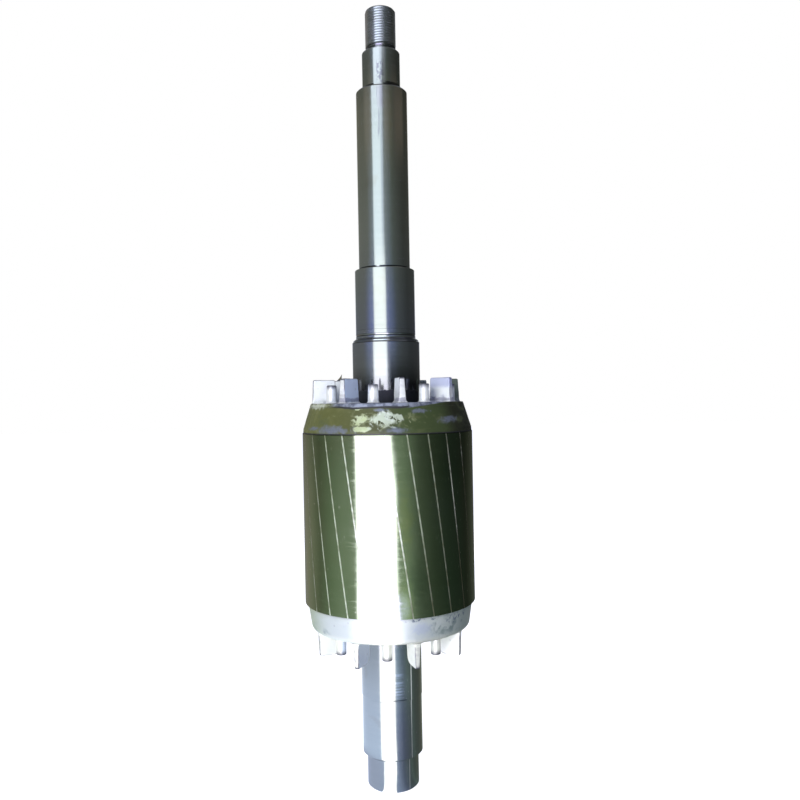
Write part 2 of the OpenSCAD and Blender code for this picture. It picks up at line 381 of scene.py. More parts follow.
# %% The thread
thread_pitch = 3.0 * MM
thread_depth = 1.84 * MM
tip_bevel = shaft_high - thread_high
root_r = thread_r - thread_depth
spare_turns = 2
thread_facets = 72
blank_play = 0.02 * MM
start_z = thread_foot - spare_turns * thread_pitch
turns = math.ceil((shaft_high - thread_foot) / thread_pitch) + 2 * spare_turns
tooth = [(0, root_r), (0.125, root_r), (0.4375, thread_r), (0.5625, thread_r), (0.875, root_r), (1, root_r)]
thread = draw_outline("thread", [(r, start_z + share * thread_pitch) for share, r in tooth])
bpy.ops.object.mode_set(mode="OBJECT")
add_modifier(thread, "SCREW", angle=math.tau, screw_offset=thread_pitch, iterations=turns,
             steps=thread_facets, render_steps=thread_facets, axis="Z")
only(thread, "EDIT")
pick_all()
bpy.ops.mesh.remove_doubles(threshold=tiny / 2)
for height, side in ((thread_foot, "clear_inner"), (shaft_high, "clear_outer")):
    pick_all()
    bpy.ops.mesh.bisect(plane_co=(0, 0, height), plane_no=(0, 0, 1), use_fill=True, **{side: True})
tidy_mesh(thread)
tell(thread)

# %% [markdown]
# The blank gives the thread its tapered foot, its bevelled tip and the upper lathe centre. What the thread
# and the blank share is joined to the shaft with a Boolean modifier.

# %% The threaded tip, joined to the shaft
blank = draw_outline("thread_blank", [
    (0, thread_foot - MM),
    (thread_r - runout_depth, thread_foot - MM),
    (thread_r - blank_play, thread_foot + runout_depth),
    (thread_r - blank_play, thread_high),
    (thread_r - tip_bevel, shaft_high - tiny),
    (centre_mouth_r, shaft_high - tiny),
    (centre_pilot_r, shaft_high - centre_cone),
    (centre_pilot_r, shaft_high - centre_depth),
    (0, shaft_high - centre_depth),
])
spin_outline(blank, thread_facets)
add_modifier(thread, "BOOLEAN", operation="INTERSECT", object=blank, solver="EXACT")
add_modifier(shaft, "BOOLEAN", operation="UNION", object=thread, solver="EXACT")
bpy.data.objects.remove(blank)
bpy.data.objects.remove(thread)
tidy_mesh(shaft)
add_modifier(shaft, "WEIGHTED_NORMAL", mode="FACE_AREA", weight=50, keep_sharp=True)
finish_piece(shaft, "turned_steel", "shaft")

# %% [markdown]
# ## The laminated core
# The core is built as the real stack is: one sheet, with its bore and its slot mouths, is laid down, and
# each next sheet is turned a little further, so the slots run up the core at a slant. One outline is
# filled and extruded upwards in steps, and each step turns it by its share of the skew.

# %% The core's sizes, and how it turns and rises
slot_count = 26
slot_pitch = math.tau / slot_count
slot_mouth = 1.6 * MM
slot_notch = 0.5 * MM
slot_middle = math.radians(-83)
skew = 1.15 * slot_pitch
stack_steps = 20
points_per_slot = 10
bore_facets = 130
mouth_slack = 1.1
slot_foot = slot_middle + skew / 2
step_turn = -skew / stack_steps
step_rise = (core_high - core_low) / stack_steps


def turn_about_axis(angle):
    """Turns the selection about the shaft axis, anticlockwise from above. With no window, the
    operator turns the other way, so the angle is given with its sign changed."""
    bpy.ops.transform.rotate(value=-angle, orient_axis="Z", center_override=(0, 0, 0))


def azimuth(point):
    """A point's turn about the shaft axis, in radians from +X."""
    return math.atan2(point.y, point.x)


def off_slot(point, middle):
    """How far a point's azimuth lies from the nearest slot, in radians."""
    turn = (azimuth(point) - middle) % slot_pitch
    return min(turn, slot_pitch - turn)


def stack_up():
    """Extrudes the selection to the top of the core, turning it a little at each step."""
    for _ in range(stack_steps):
        bpy.ops.mesh.extrude_region_move(TRANSFORM_OT_translate={"value": (0, 0, step_rise)})
        turn_about_axis(step_turn)

# %% [markdown]
# The sheet starts as a circle with a few points for each slot. One of them in each slot is bevelled to the
# width of the mouth, and the short edge that this leaves is drawn in a little, which makes the notch.

# %% The core
clear()
bpy.ops.mesh.primitive_circle_add(vertices=slot_count * points_per_slot, radius=core_r, location=(0, 0, core_low))
core = adopt("core_stack")
start = azimuth(core.data.vertices[0].co)
only(core, "EDIT")
pick_all()
turn_about_axis(slot_foot - start)
slots = pick(core, "VERT", lambda m, v: off_slot(m, slot_foot) < slot_pitch / points_per_slot / 2)
bpy.ops.mesh.bevel(offset=slot_mouth / 2, segments=1, affect="VERTICES")


def is_mouth(middle, side):
    """True for the short edge across a slot's mouth."""
    return side.calc_length() < slot_mouth * mouth_slack and off_slot(middle, slot_foot) < slot_pitch / 100


mouths = pick(core, "EDGE", is_mouth)
bpy.ops.mesh.extrude_edges_move(TRANSFORM_OT_translate={"value": (0, 0, 0)})
shrink = (core_r - slot_notch) / core_r
bpy.ops.transform.resize(value=(shrink, shrink, 1), center_override=(0, 0, core_low))
pick_all()
bpy.ops.mesh.delete(type="ONLY_FACE")
pick(core, "EDGE", lambda m, e: is_mouth(m, e) and m.xy.length > core_r - slot_notch / 2)
bpy.ops.mesh.delete(type="EDGE")
bpy.ops.mesh.primitive_circle_add(vertices=bore_facets, radius=core_seat_r, location=(0, 0, core_low))
pick_all()
bpy.ops.mesh.fill()
bpy.ops.mesh.select_mode(type="FACE")
pick_all()
stack_up()
tidy_mesh(core)
print("slots:", slots, "mouths:", mouths)
finish_piece(core, "lamination_steel", "laminated_core")

# %% [markdown]
# ## The cage bars
# Of each bar only the outer edge shows: a strip under two millimetres wide, turned flush with the core. One
# strip climbs the core in the same steps as the sheets, and the rest are copies of it, one a slot.

# %% The bars
bar_play = 0.1 * MM
clear()
bpy.ops.mesh.primitive_plane_add(size=1, location=(core_r - slot_notch / 2, 0, core_low))
bars = adopt("bar_edges", (slot_notch, slot_mouth - bar_play, 1))
only(bars, "EDIT")
bpy.ops.mesh.select_mode(type="FACE")
pick_all()
turn_about_axis(slot_foot)
stack_up()
for _ in range(slot_count - 1):
    bpy.ops.mesh.select_linked()
    bpy.ops.mesh.duplicate()
    turn_about_axis(slot_pitch)
tidy_mesh(bars)
finish_piece(bars, "bar_aluminium", "cage_bars")

# %% [markdown]
# ## The end rings
# Each ring is cast against the end of the core. It has a straight land at its foot, tapers so that it
# comes out of the mould, and is bored wide of the shaft. The upper ring has a low lip along its free edge,
# where the two halves of the mould met. The outline is spun, and then soft cloud textures push the skin in
# by a few tenths of a millimetre, because a casting is never quite true.

# %% Helpers for a cast skin
cast_smooth_angle = 40


def clouds(name, size):
    """A soft cloud texture whose lumps have a size."""
    texture = bpy.data.textures.new(name, "CLOUDS")
    texture.noise_scale = size
    texture.noise_depth = 2
    return texture


waves = clouds("cast_waves", 15 * MM)
lumps_small = clouds("cast_lumps", 5 * MM)


def roughen(piece, depth):
    """Pushes a cast skin in by up to a depth, in soft waves and smaller lumps."""
    for texture, share in ((waves, 0.65), (lumps_small, 0.35)):
        add_modifier(piece, "DISPLACE", texture=texture, texture_coords="GLOBAL", mid_level=1.0,
                     strength=share * depth)

# %% [markdown]
# Both rings come from one function. A closed outline is drawn for the ring's section, its free corners are
# rounded, and its long sides are cut up, so that the textures have points to move.

# %% The rings
ring_land = 4.0 * MM
ring_sink = 0.4 * MM
ring_bore_r = 55.0 * MM
ring_bore_draft = 1.5 * MM
ring_round = 1.5 * MM
ring_cuts = 9
ring_long_edge = 8.0 * MM
ring_facets = 180
ring_depth = 0.4 * MM
lip_h = 4.2 * MM
lip_groove = 0.3 * MM
lip_corner = 0.2 * MM


def cast_ring(name, foot_r, end_r, foot_z, end_z, end_round, lip, node, slot):
    """A ring from its foot on the core to its free end."""
    side = 1 if end_z > foot_z else -1
    land_z = foot_z + side * ring_land
    corners = [(ring_bore_r, foot_z - side * ring_sink), (foot_r, foot_z - side * ring_sink), (foot_r, land_z)]
    if lip:
        slope = (end_r - foot_r) / (end_z - land_z)
        for below, depth in ((lip_h + lip_groove, 0), (lip_h + lip_corner, lip_groove), (lip_h, lip_groove),
                             (lip_h, 0)):
            corners.append((end_r - slope * side * below - depth, end_z - side * below))
    corners += [(end_r, end_z), (ring_bore_r + ring_bore_draft, end_z)]
    ring = draw_outline(name, corners, closed=True)
    round_corners(ring, [corners[2]], ring_round)
    round_corners(ring, [corners[-2]], end_round, 6)
    round_corners(ring, [corners[-1]], ring_round)
    pick(ring, "EDGE", lambda m, e: e.calc_length() > ring_long_edge)
    bpy.ops.mesh.subdivide(number_cuts=ring_cuts)
    spin_outline(ring, ring_facets)
    roughen(ring, ring_depth)
    only(ring)
    bpy.ops.object.shade_smooth_by_angle(angle=math.radians(cast_smooth_angle))
    finish_piece(ring, slot, node)
    return ring


upper_end_r = 89.5 * MM
upper_end_round = 1.2 * MM
lower_end_r = 92.0 * MM
lower_end_round = 4.4 * MM
upper_ring = cast_ring("upper_ring", upper_foot_r, upper_end_r, upper_ring_low, upper_ring_high,
                       upper_end_round, True, "upper_end_ring", "varnished_casting")
lower_ring = cast_ring("lower_ring", lower_foot_r, lower_end_r, lower_ring_high, lower_ring_low,
                       lower_end_round, False, "lower_end_ring", "bare_casting")

# %% [markdown]
# ## The fan blades
# A blade is a plate that stands on the ring along its radius. It is thinner at its free edge, leans in at
# its outer end, spreads into the ring in a hollow fillet and has no sharp corner, all so that it fills and
# leaves the mould. The blades and the pegs share a few helpers.

# %% Helpers for cast plates and pegs
cast_sink = 1.0 * MM
cast_sharp = math.radians(50)
fillet_rows = (-1.0, 0.0, 0.5, 1.1, 1.9, 2.9)


def level(point, height):
    """True if a point lies at a height."""
    return abs(point.z - height) < tiny


def cut_rows(places, normal):
    """Bisects a mesh at places along a normal, so that rows of points run round it."""
    for place in places:
        pick_all()
        bpy.ops.mesh.bisect(plane_co=[place * n for n in normal], plane_no=normal)


def fillet_spread(height, radius):
    """How far a hollow fillet stands out from a wall at a height over the ring."""
    fall = radius - min(max(height, 0), radius)
    return radius - math.sqrt(radius ** 2 - fall ** 2)

# %% [markdown]
# One blade is shaped from a block. Bisecting it lays rows of points round it, and each row near the foot is
# widened by what the fillet has there.

# %% One blade
blade_count = 8
blade_r_in = 60.8 * MM
blade_len = 27.4 * MM
blade_r_out = blade_r_in + blade_len
blade_end_draft = 1.2 * MM
blade_fillet = 2.9 * MM
blade_round = 1.2 * MM
blade_outer_corner = 2.0 * MM
blade_short_edge = 9.0 * MM
blade_end_zone = 2.0 * MM
blade_rows = (*fillet_rows[1:], *range(5, 26, 2))
blade_columns = 12
blade_end_reach = 1.5 * MM
blade_end_spread = (-0.8, 0.35)
first_upper = math.radians(-78)
first_lower = math.radians(-70)
blade_pitch = math.tau / blade_count


def cast_blade(name, foot_z, end_z, foot_t, tip_t, inner_corner):
    """A blade along +X, from its foot to its free edge."""
    side = 1 if end_z > foot_z else -1
    start_z = foot_z - side * cast_sink
    clear()
    bpy.ops.mesh.primitive_cube_add(size=1, location=(blade_r_in + blade_len / 2, 0, (start_z + end_z) / 2))
    blade = adopt(name, (blade_len, foot_t, abs(end_z - start_z)))
    only(blade, "EDIT")
    pick(blade, "FACE", lambda m, f: level(m, end_z))
    bpy.ops.transform.resize(value=(1, tip_t / foot_t, 1), center_override=(0, 0, end_z))
    pick(blade, "EDGE", lambda m, e: level(m, end_z) and m.x > blade_r_out - blade_end_zone / 2)
    bpy.ops.transform.translate(value=(-blade_end_draft, 0, 0))
    for radius, test in ((inner_corner, lambda x: x < blade_r_in + blade_end_zone / 2),
                         (blade_outer_corner, lambda x: x > blade_r_out - blade_end_zone)):
        pick(blade, "EDGE", lambda m, e: level(m, end_z) and test(m.x) and e.calc_length() < blade_short_edge)
        bpy.ops.mesh.bevel(offset=radius, segments=7)
    pick(blade, "EDGE", lambda m, e: e.calc_face_angle(0) > cast_sharp and not level(m, start_z))
    bpy.ops.mesh.bevel(offset=blade_round, segments=4)
    cut_rows([foot_z + side * row * MM for row in blade_rows], (0, 0, 1))
    cut_rows([blade_r_in + i * blade_len / blade_columns for i in range(1, blade_columns)], (1, 0, 0))
    for row in fillet_rows:
        height = foot_z + side * row * MM
        spread = fillet_spread(row * MM, blade_fillet)
        pick(blade, "VERT", lambda m, v: level(m, height))
        bpy.ops.transform.resize(value=(1, 1 + 2 * spread / foot_t, 1), center_override=(0, 0, height))
        for share, test in zip(blade_end_spread, (lambda x: x < blade_r_in + blade_end_reach,
                                                  lambda x: x > blade_r_out - blade_end_reach)):
            pick(blade, "VERT", lambda m, v: level(m, height) and test(m.x))
            bpy.ops.transform.translate(value=(share * spread, 0, 0))
    tidy_mesh(blade, cast_smooth_angle)
    return blade

# %% [markdown]
# The blade is copied round the ring. Each copy is turned to its place before its skin is roughened, so that
# no two blades are quite alike. The table has a blade's thickness at its foot and at its free edge, the
# radius of its inner corner and how deep its skin is roughened, in millimetres.

# %% The blades
def copy_round(first, start, node, depth):
    """Copies a blade or a peg round the shaft, each copy with its own mesh, and drops the first."""
    for i in range(blade_count):
        only(first)
        bpy.ops.object.duplicate(linked=False)
        piece = bpy.context.object
        piece.name = piece.data.name = f"{first.name}_{i + 1}"
        only(piece, "EDIT")
        pick_all()
        turn_about_axis(start + i * blade_pitch)
        bpy.ops.object.mode_set(mode="OBJECT")
        roughen(piece, depth)
        finish_piece(piece, "blade_casting", f"{node}_{i + 1}")
    bpy.data.objects.remove(first)


for name, stands_for, foot_z, end_z, first, foot_t, tip_t, inner_corner, depth in (
        ("upper_blade", "upper_fan_blade", upper_ring_high, blade_top, first_upper, 9.4, 6.6, 2.5, 0.8),
        ("lower_blade", "lower_fan_blade", lower_ring_low, blade_bottom, first_lower, 7.6, 5.4, 8.5, 0.7)):
    blade = cast_blade(name, foot_z, end_z, foot_t * MM, tip_t * MM, inner_corner * MM)
    copy_round(blade, first, stands_for, depth * MM)

# %% [markdown]
# ## The balance pegs
# Round pegs stand between the blades. Washers are riveted on them to balance a rotor, and this one has
# none. A cone gives the draft, a bevel rounds its free end, and its foot has the same hollow fillet.

# %% The pegs
peg_r = 74.5 * MM
peg_foot_r = 6.3 * MM
peg_end_r = 5.8 * MM
peg_round = 1.3 * MM
peg_fillet = 2.2 * MM
peg_facets = 32
peg_depth = 0.5 * MM
peg_rows = (*fillet_rows[1:], 5, 7.5, 10, 12.5, 15)


def cast_peg(name, foot_z, end_z):
    """A peg on the +X side, from its foot to its free end."""
    side = 1 if end_z > foot_z else -1
    start_z = foot_z - side * cast_sink
    radii = (peg_foot_r, peg_end_r) if side > 0 else (peg_end_r, peg_foot_r)
    clear()
    bpy.ops.mesh.primitive_cone_add(vertices=peg_facets, radius1=radii[0], radius2=radii[1],
                                    depth=abs(end_z - start_z), location=(peg_r, 0, (start_z + end_z) / 2))
    peg = adopt(name)
    only(peg, "EDIT")
    pick(peg, "EDGE", lambda m, e: level(m, end_z))
    bpy.ops.mesh.bevel(offset=peg_round, segments=4)
    cut_rows([foot_z + side * row * MM for row in peg_rows], (0, 0, 1))
    for row in fillet_rows:
        height = foot_z + side * row * MM
        grow = 1 + fillet_spread(row * MM, peg_fillet) / peg_foot_r
        pick(peg, "VERT", lambda m, v: level(m, height))
        bpy.ops.transform.resize(value=(grow, grow, 1), center_override=(peg_r, 0, height))
    tidy_mesh(peg, cast_smooth_angle)
    return peg


for name, stands_for, foot_z, end_z, first in (
        ("upper_peg", "upper_balance_peg", upper_ring_high, peg_top, first_upper),
        ("lower_peg", "lower_balance_peg", lower_ring_low, peg_bottom, first_lower)):
    copy_round(cast_peg(name, foot_z, end_z), first + blade_pitch / 2, stands_for, peg_depth)

# %% [markdown]
# Where the mould leaked, a thin fin of metal stands on one blade at the back. It is drawn from the side,
# extruded to its thickness, brought to a thin edge at its tip and turned to its blade.

# %% The casting fin
fin_half = 0.6 * MM
fin_round = 0.15 * MM
fin_tip_share = 0.5
fin_sharp = math.radians(30)
fin = draw_outline("casting_fin", [
    (66.0 * MM, blade_top - MM),
    (66.4 * MM, blade_top + 3.0 * MM),
    (65.8 * MM, blade_top + 7.6 * MM),
    (69.0 * MM, blade_top + 3.6 * MM),
    (74.5 * MM, blade_top - MM),
], closed=True)
pick_all()
bpy.ops.mesh.edge_face_add()
bpy.ops.transform.translate(value=(0, -fin_half, 0))
bpy.ops.mesh.extrude_region_move(TRANSFORM_OT_translate={"value": (0, 2 * fin_half, 0)})
pick(fin, "VERT", lambda m, v: m.z > blade_top + 2.0 * MM)
bpy.ops.transform.resize(value=(1, fin_tip_share, 1), center_override=(0, 0, 0))
pick(fin, "EDGE", lambda m, e: e.calc_face_angle(0) > fin_sharp)
bpy.ops.mesh.bevel(offset=fin_round, segments=2)
pick_all()
turn_about_axis(first_upper + 5 * blade_pitch)
tidy_mesh(fin, cast_smooth_angle)
finish_piece(fin, "blade_casting")

# %% [markdown]
# ## Shader helpers
# A finish is a small network of nodes. These helpers add a node with its inputs filled in, where an input
# is a plain value or another node's output. A new node goes into the tree of the outputs that it uses.

# %% Helpers for shader nodes
def is_output(value):
    """True for a node's output, and False for a plain value."""
    return isinstance(value, bpy.types.NodeSocket)


def node(tree, kind, inputs=None, **settings):
    """Adds a shader node with its inputs and its settings."""
    made = tree.nodes.new("ShaderNode" + kind)
    for key, value in settings.items():
        setattr(made, key, value)
    for key, value in (inputs or {}).items():
        if is_output(value):
            tree.links.new(value, made.inputs[key])
        else:
            made.inputs[key].default_value = value
    return made


def tree_of(*values):
    """The tree that holds the node outputs among some values."""
    return next(value.id_data for value in values if is_output(value))


def maths(operation, *values):
    """The result of a Math node."""
    return node(tree_of(*values), "Math", dict(enumerate(values)), operation=operation).outputs[0]


def vector(operation, *values, out=0):
    """The result of a Vector Math node."""
    return node(tree_of(*values), "VectorMath", dict(enumerate(values)), operation=operation).outputs[out]


def triple(x, y, z=0.0):
    """Three values as one vector."""
    return node(tree_of(x, y, z), "CombineXYZ", {0: x, 1: y, 2: z}).outputs[0]


def times(product, *others):
    """Masks and plain shares multiplied together."""
    for other in others:
        product = maths("MULTIPLY", product, other)
    return product


def most(highest, *others):
    """The highest of several masks."""
    for other in others:
        highest = maths("MAXIMUM", highest, other)
    return highest

# %% [markdown]
# A mask is a value from 0 to 1 that says where something shows. Most marks here are a mask and a colour, laid
# over what is there already.

# %% Helpers for masks and colours
def between(value, low, high, to_low=0.0, to_high=1.0):
    """A value's place between two limits, eased at both ends and carried over to two others."""
    return node(tree_of(value), "MapRange", {"Value": value, "From Min": low, "From Max": high, "To Min": to_low,
                                             "To Max": to_high}, interpolation_type="SMOOTHSTEP").outputs[0]


def fade(value, low, high, full=1.0):
    """A full share up to one limit, and nothing past the other."""
    return between(value, low, high, full, 0.0)


def band(value, low, high, soft):
    """1 between two limits and 0 outside them, with soft ends."""
    return times(between(value, low - soft, low + soft), fade(value, high - soft, high + soft))


def blend(factor, first, second, kind="MIX"):
    """A colour between two others, or one laid over the other."""
    mix = node(tree_of(factor, first, second), "Mix", {0: factor}, data_type="RGBA", blend_type=kind)
    for socket, colour in ((6, first), (7, second)):
        if is_output(colour):
            mix.id_data.links.new(colour, mix.inputs[socket])
        else:
            mix.inputs[socket].default_value = (*colour, 1)
    return mix.outputs[2]


def paint(colour, *coats):
    """Lays coats over a colour in turn. A coat is a mask, the share that covers, and a colour."""
    for mask, share, coat in coats:
        colour = blend(times(mask, share), colour, coat)
    return colour


def noise(where, scale, detail=2.0, roughness=0.5, distortion=0.0):
    """Soft noise at a scale, as a value."""
    return node(tree_of(where), "TexNoise", {"Vector": where, "Scale": scale, "Detail": detail,
                                             "Roughness": roughness, "Distortion": distortion}).outputs[0]


def bump(height, strength, distance):
    """A normal that follows a height, where 1 is a distance in millimetres."""
    values = {"Height": height, "Strength": strength, "Distance": distance * MM}
    return node(tree_of(height), "Bump", values).outputs[0]


def object_place(tree):
    """Coordinates that stay with the piece, in metres from the foot of the shaft."""
    return node(tree, "TexCoord").outputs["Object"]


def steps(value, top, stops, spread=None):
    """A colour ramp over a value from 0 to a top. A stop is a place and a colour. Where it is a place and
    a number from -spread to spread, the numbers are carried as greys, and come back as numbers."""
    ramp = node(tree_of(value), "ValToRGB", {"Fac": maths("DIVIDE", value, top)})
    elements = ramp.color_ramp.elements
    for place, *_ in stops[1:-1]:
        elements.new(place / top)
    for element, (place, *colour) in zip(elements, stops):
        element.position = place / top
        element.color = (*colour, 1) if spread is None else (*[colour[0] / spread / 2 + 0.5] * 3, 1)
    if spread is None:
        return ramp.outputs["Color"]
    grey = node(ramp.id_data, "SeparateColor", {0: ramp.outputs["Color"]}).outputs[0]
    return times(maths("SUBTRACT", grey, 0.5), 2 * spread)

# %% [markdown]
# Effects that several finishes share are shader groups. A group's inputs and outputs are named here with
# underscores for the spaces in their labels. A finish is a material, and it knows its place round the axis.

# %% Helpers for groups and finishes
def label_of(name):
    """The label of a group's input or output."""
    return name.replace("_", " ").capitalize()


def new_group(name, **inputs):
    """An empty shader group, and its inputs as outputs to link from."""
    tree = bpy.data.node_groups.new(name, "ShaderNodeTree")
    for key, value in inputs.items():
        socket = tree.interface.new_socket(label_of(key), in_out="INPUT", socket_type="NodeSocketFloat")
        socket.default_value = value
    return tree, tree.nodes.new("NodeGroupInput").outputs


def give(tree, **outputs):
    """Makes a group's outputs. One whose name ends in colour is a colour."""
    for key in outputs:
        kind = "NodeSocketColor" if key.endswith("colour") else "NodeSocketFloat"
        tree.interface.new_socket(label_of(key), in_out="OUTPUT", socket_type=kind)
    end = tree.nodes.new("NodeGroupOutput")
    for key, value in outputs.items():
        tree.links.new(value, end.inputs[label_of(key)])
    print("group", tree.name, "has", len(tree.nodes), "nodes")


def use(tree, group, **inputs):
    """Places a group in a tree, and returns its outputs."""
    made = tree.nodes.new("ShaderNodeGroup")
    made.node_tree = group
    for key, value in inputs.items():
        made.inputs[label_of(key)].default_value = value
    return made.outputs


finishes = {}


def new_finish(name, metallic, roughness):
    """A new material's tree, with the turn and the height of each point. Its shader starts with the values
    that are the same all over it."""
    material = finishes[name] = bpy.data.materials.new(name)
    material.use_nodes = True
    tree = material.node_tree
    shader = tree.nodes["Principled BSDF"]
    shader.inputs["Metallic"].default_value = metallic
    shader.inputs["Roughness"].default_value = roughness
    here = use(tree, around)
    return tree, here["Turn"], here["Height"]


def set_shader(tree, **varied):
    """Links what varies over a finish to its shader."""
    for key, value in varied.items():
        tree.links.new(value, tree.nodes["Principled BSDF"].inputs[key.replace("_", " ")])


def wear(name, *pieces):
    """Gives pieces a finish."""
    for piece in pieces:
        piece.data.materials.clear()
        piece.data.materials.append(finishes[name])
    print(name, "has", len(finishes[name].node_tree.nodes), "nodes and is on", len(pieces), "pieces")

# %% [markdown]
# ## Effects that the finishes share
# Nearly everything on a rotor runs round its axis: the tool marks, the stains that a rag has smeared, the
# varnish. So the first group turns a point's coordinates into its turn round the axis, in degrees from the
# front, and its height and radius in millimetres.

# %% Group: place round the axis
around, _ = new_group("place round the axis")
around_x, around_y, around_z = node(around, "SeparateXYZ", {0: object_place(around)}).outputs
give(around, turn=maths("DEGREES", maths("ARCTAN2", around_x, times(around_y, -1))),
     height=maths("DIVIDE", around_z, MM),
     radius=maths("DIVIDE", vector("LENGTH", triple(around_x, around_y), out="Value"), MM))

# %% [markdown]
# A lathe tool and a grinding wheel leave rings round the axis. Noise that is stretched out round the axis
# and squeezed along it gives such rings, and they never quite repeat.

# %% Group: turning rings
rings, rings_in = new_group("turning rings", rings_per_mm=1.0, waver=12.0)
ring_scale = triple(rings_in["Waver"], rings_in["Waver"], maths("DIVIDE", rings_in["Rings per mm"], MM))
ring_place = vector("MULTIPLY", object_place(rings), ring_scale)
give(rings, fine=noise(ring_place, 1.0, 3.0, 0.6), broad=noise(ring_place, 0.13))

# %% [markdown]
# Old stock has stains: oil that has dried, a thumb print that has rusted, varnish that ran. They are soft
# noise, cut at a level, with an edge that is made ragged by finer noise.

# %% Group: ragged patches
patches, patches_in = new_group("ragged patches", size=20.0, cover=0.4, softness=0.05, offset=0.0, stretch=1.0)
patch_place = vector("MULTIPLY_ADD", object_place(patches), triple(1.0, 1.0, patches_in["Stretch"]),
                     triple(patches_in["Offset"], 0.0, patches_in["Offset"]))
patch_level = maths("SUBTRACT", 1.0, patches_in["Cover"])
give(patches, mask=between(noise(patch_place, patches_in["Size"], 5.0, 0.55, 0.6), patch_level,
                           maths("ADD", patch_level, patches_in["Softness"])))


def stains(tree, size, cover, softness, offset, stretch=1.0):
    """Ragged patches as one mask."""
    return use(tree, patches, size=size, cover=cover, softness=softness, offset=offset, stretch=stretch)["Mask"]

# %% [markdown]
# Some marks have a place of their own, as a bare patch on the upper ring has. A spot is an oval at a turn
# and a height, and noise breaks its rim. Several spots together make one mask.

# %% Group: ragged spot
spot_rim = 1.05
spot, spot_in = new_group("ragged spot", turn=0.0, height=0.0, wide=10.0, tall=5.0, ragged=0.5, soft=0.3)
spot_here = use(spot, around)
spot_across, spot_up = (maths("DIVIDE", maths("SUBTRACT", spot_here[place], spot_in[place]), spot_in[half])
                        for place, half in (("Turn", "Wide"), ("Height", "Tall")))
spot_far = vector("LENGTH", triple(spot_across, spot_up), out="Value")
spot_grain = maths("SUBTRACT", noise(object_place(spot), 110.0, 4.0, 0.65, 0.8), 0.5)
spot_torn = maths("MULTIPLY_ADD", spot_grain, times(spot_in["Ragged"], 4.0), spot_far)
give(spot, mask=fade(spot_torn, maths("SUBTRACT", spot_rim, spot_in["Soft"]), spot_rim))


def spots(tree, ragged, soft, *places):
    """One mask from several spots, each given by its turn, its height, and half its width and height."""
    keys = ("turn", "height", "wide", "tall")
    return most(*(use(tree, spot, ragged=ragged, soft=soft, **dict(zip(keys, place)))["Mask"] for place in places))

# %% [markdown]
# Shade is painted into corners and where two pieces meet, and an Ambient Occlusion node finds those places: it
# looks a short way out from the surface and counts what it meets. Painted shade also runs as dark outlines
# along the rims of a casting, just where Pointiness says that the mesh turns outwards.

# %% Groups: crevice and rim
crevice, crevice_in = new_group("crevice", reach_mm=6.0)
crevice_ao = node(crevice, "AmbientOcclusion", {"Distance": times(crevice_in["Reach mm"], MM)}, samples=6)
give(crevice, mask=fade(crevice_ao.outputs["AO"], 0.35, 0.80))

rim, rim_in = new_group("rim", low=0.52, high=0.60)
give(rim, mask=between(node(rim, "NewGeometry").outputs["Pointiness"], rim_in["Low"], rim_in["High"]))

# %% [markdown]
# The flanks of the blades get a painted shade, bluer and darker than their outer ends. A flank is a face
# whose normal runs round the axis, and not away from it.

# %% Group: sideways
sideways, _ = new_group("sideways")
round_axis = vector("NORMALIZE", vector("CROSS_PRODUCT", (0, 0, 1), object_place(sideways)))
facing = vector("DOT_PRODUCT", round_axis, node(sideways, "NewGeometry").outputs["Normal"], out="Value")
give(sideways, share=maths("ABSOLUTE", facing))

# %% [markdown]
# A cast skin takes the grain of its mould: low lumps, and small pits where gas was trapped.

# %% Group: cast skin
skin, skin_in = new_group("cast skin", lumps_per_mm=0.5, pits_per_mm=0.7)
skin_place = object_place(skin)
lumps = noise(skin_place, maths("DIVIDE", skin_in["Lumps per mm"], MM), 4.0, 0.6)
pit_cells = node(skin, "TexVoronoi", {"Vector": skin_place, "Scale": maths("DIVIDE", skin_in["Pits per mm"], MM)})
pits = fade(pit_cells.outputs["Distance"], 0.08, 0.16)
give(skin, height=maths("SUBTRACT", lumps, times(pits, 0.3)), lumps=lumps, pits=pits)
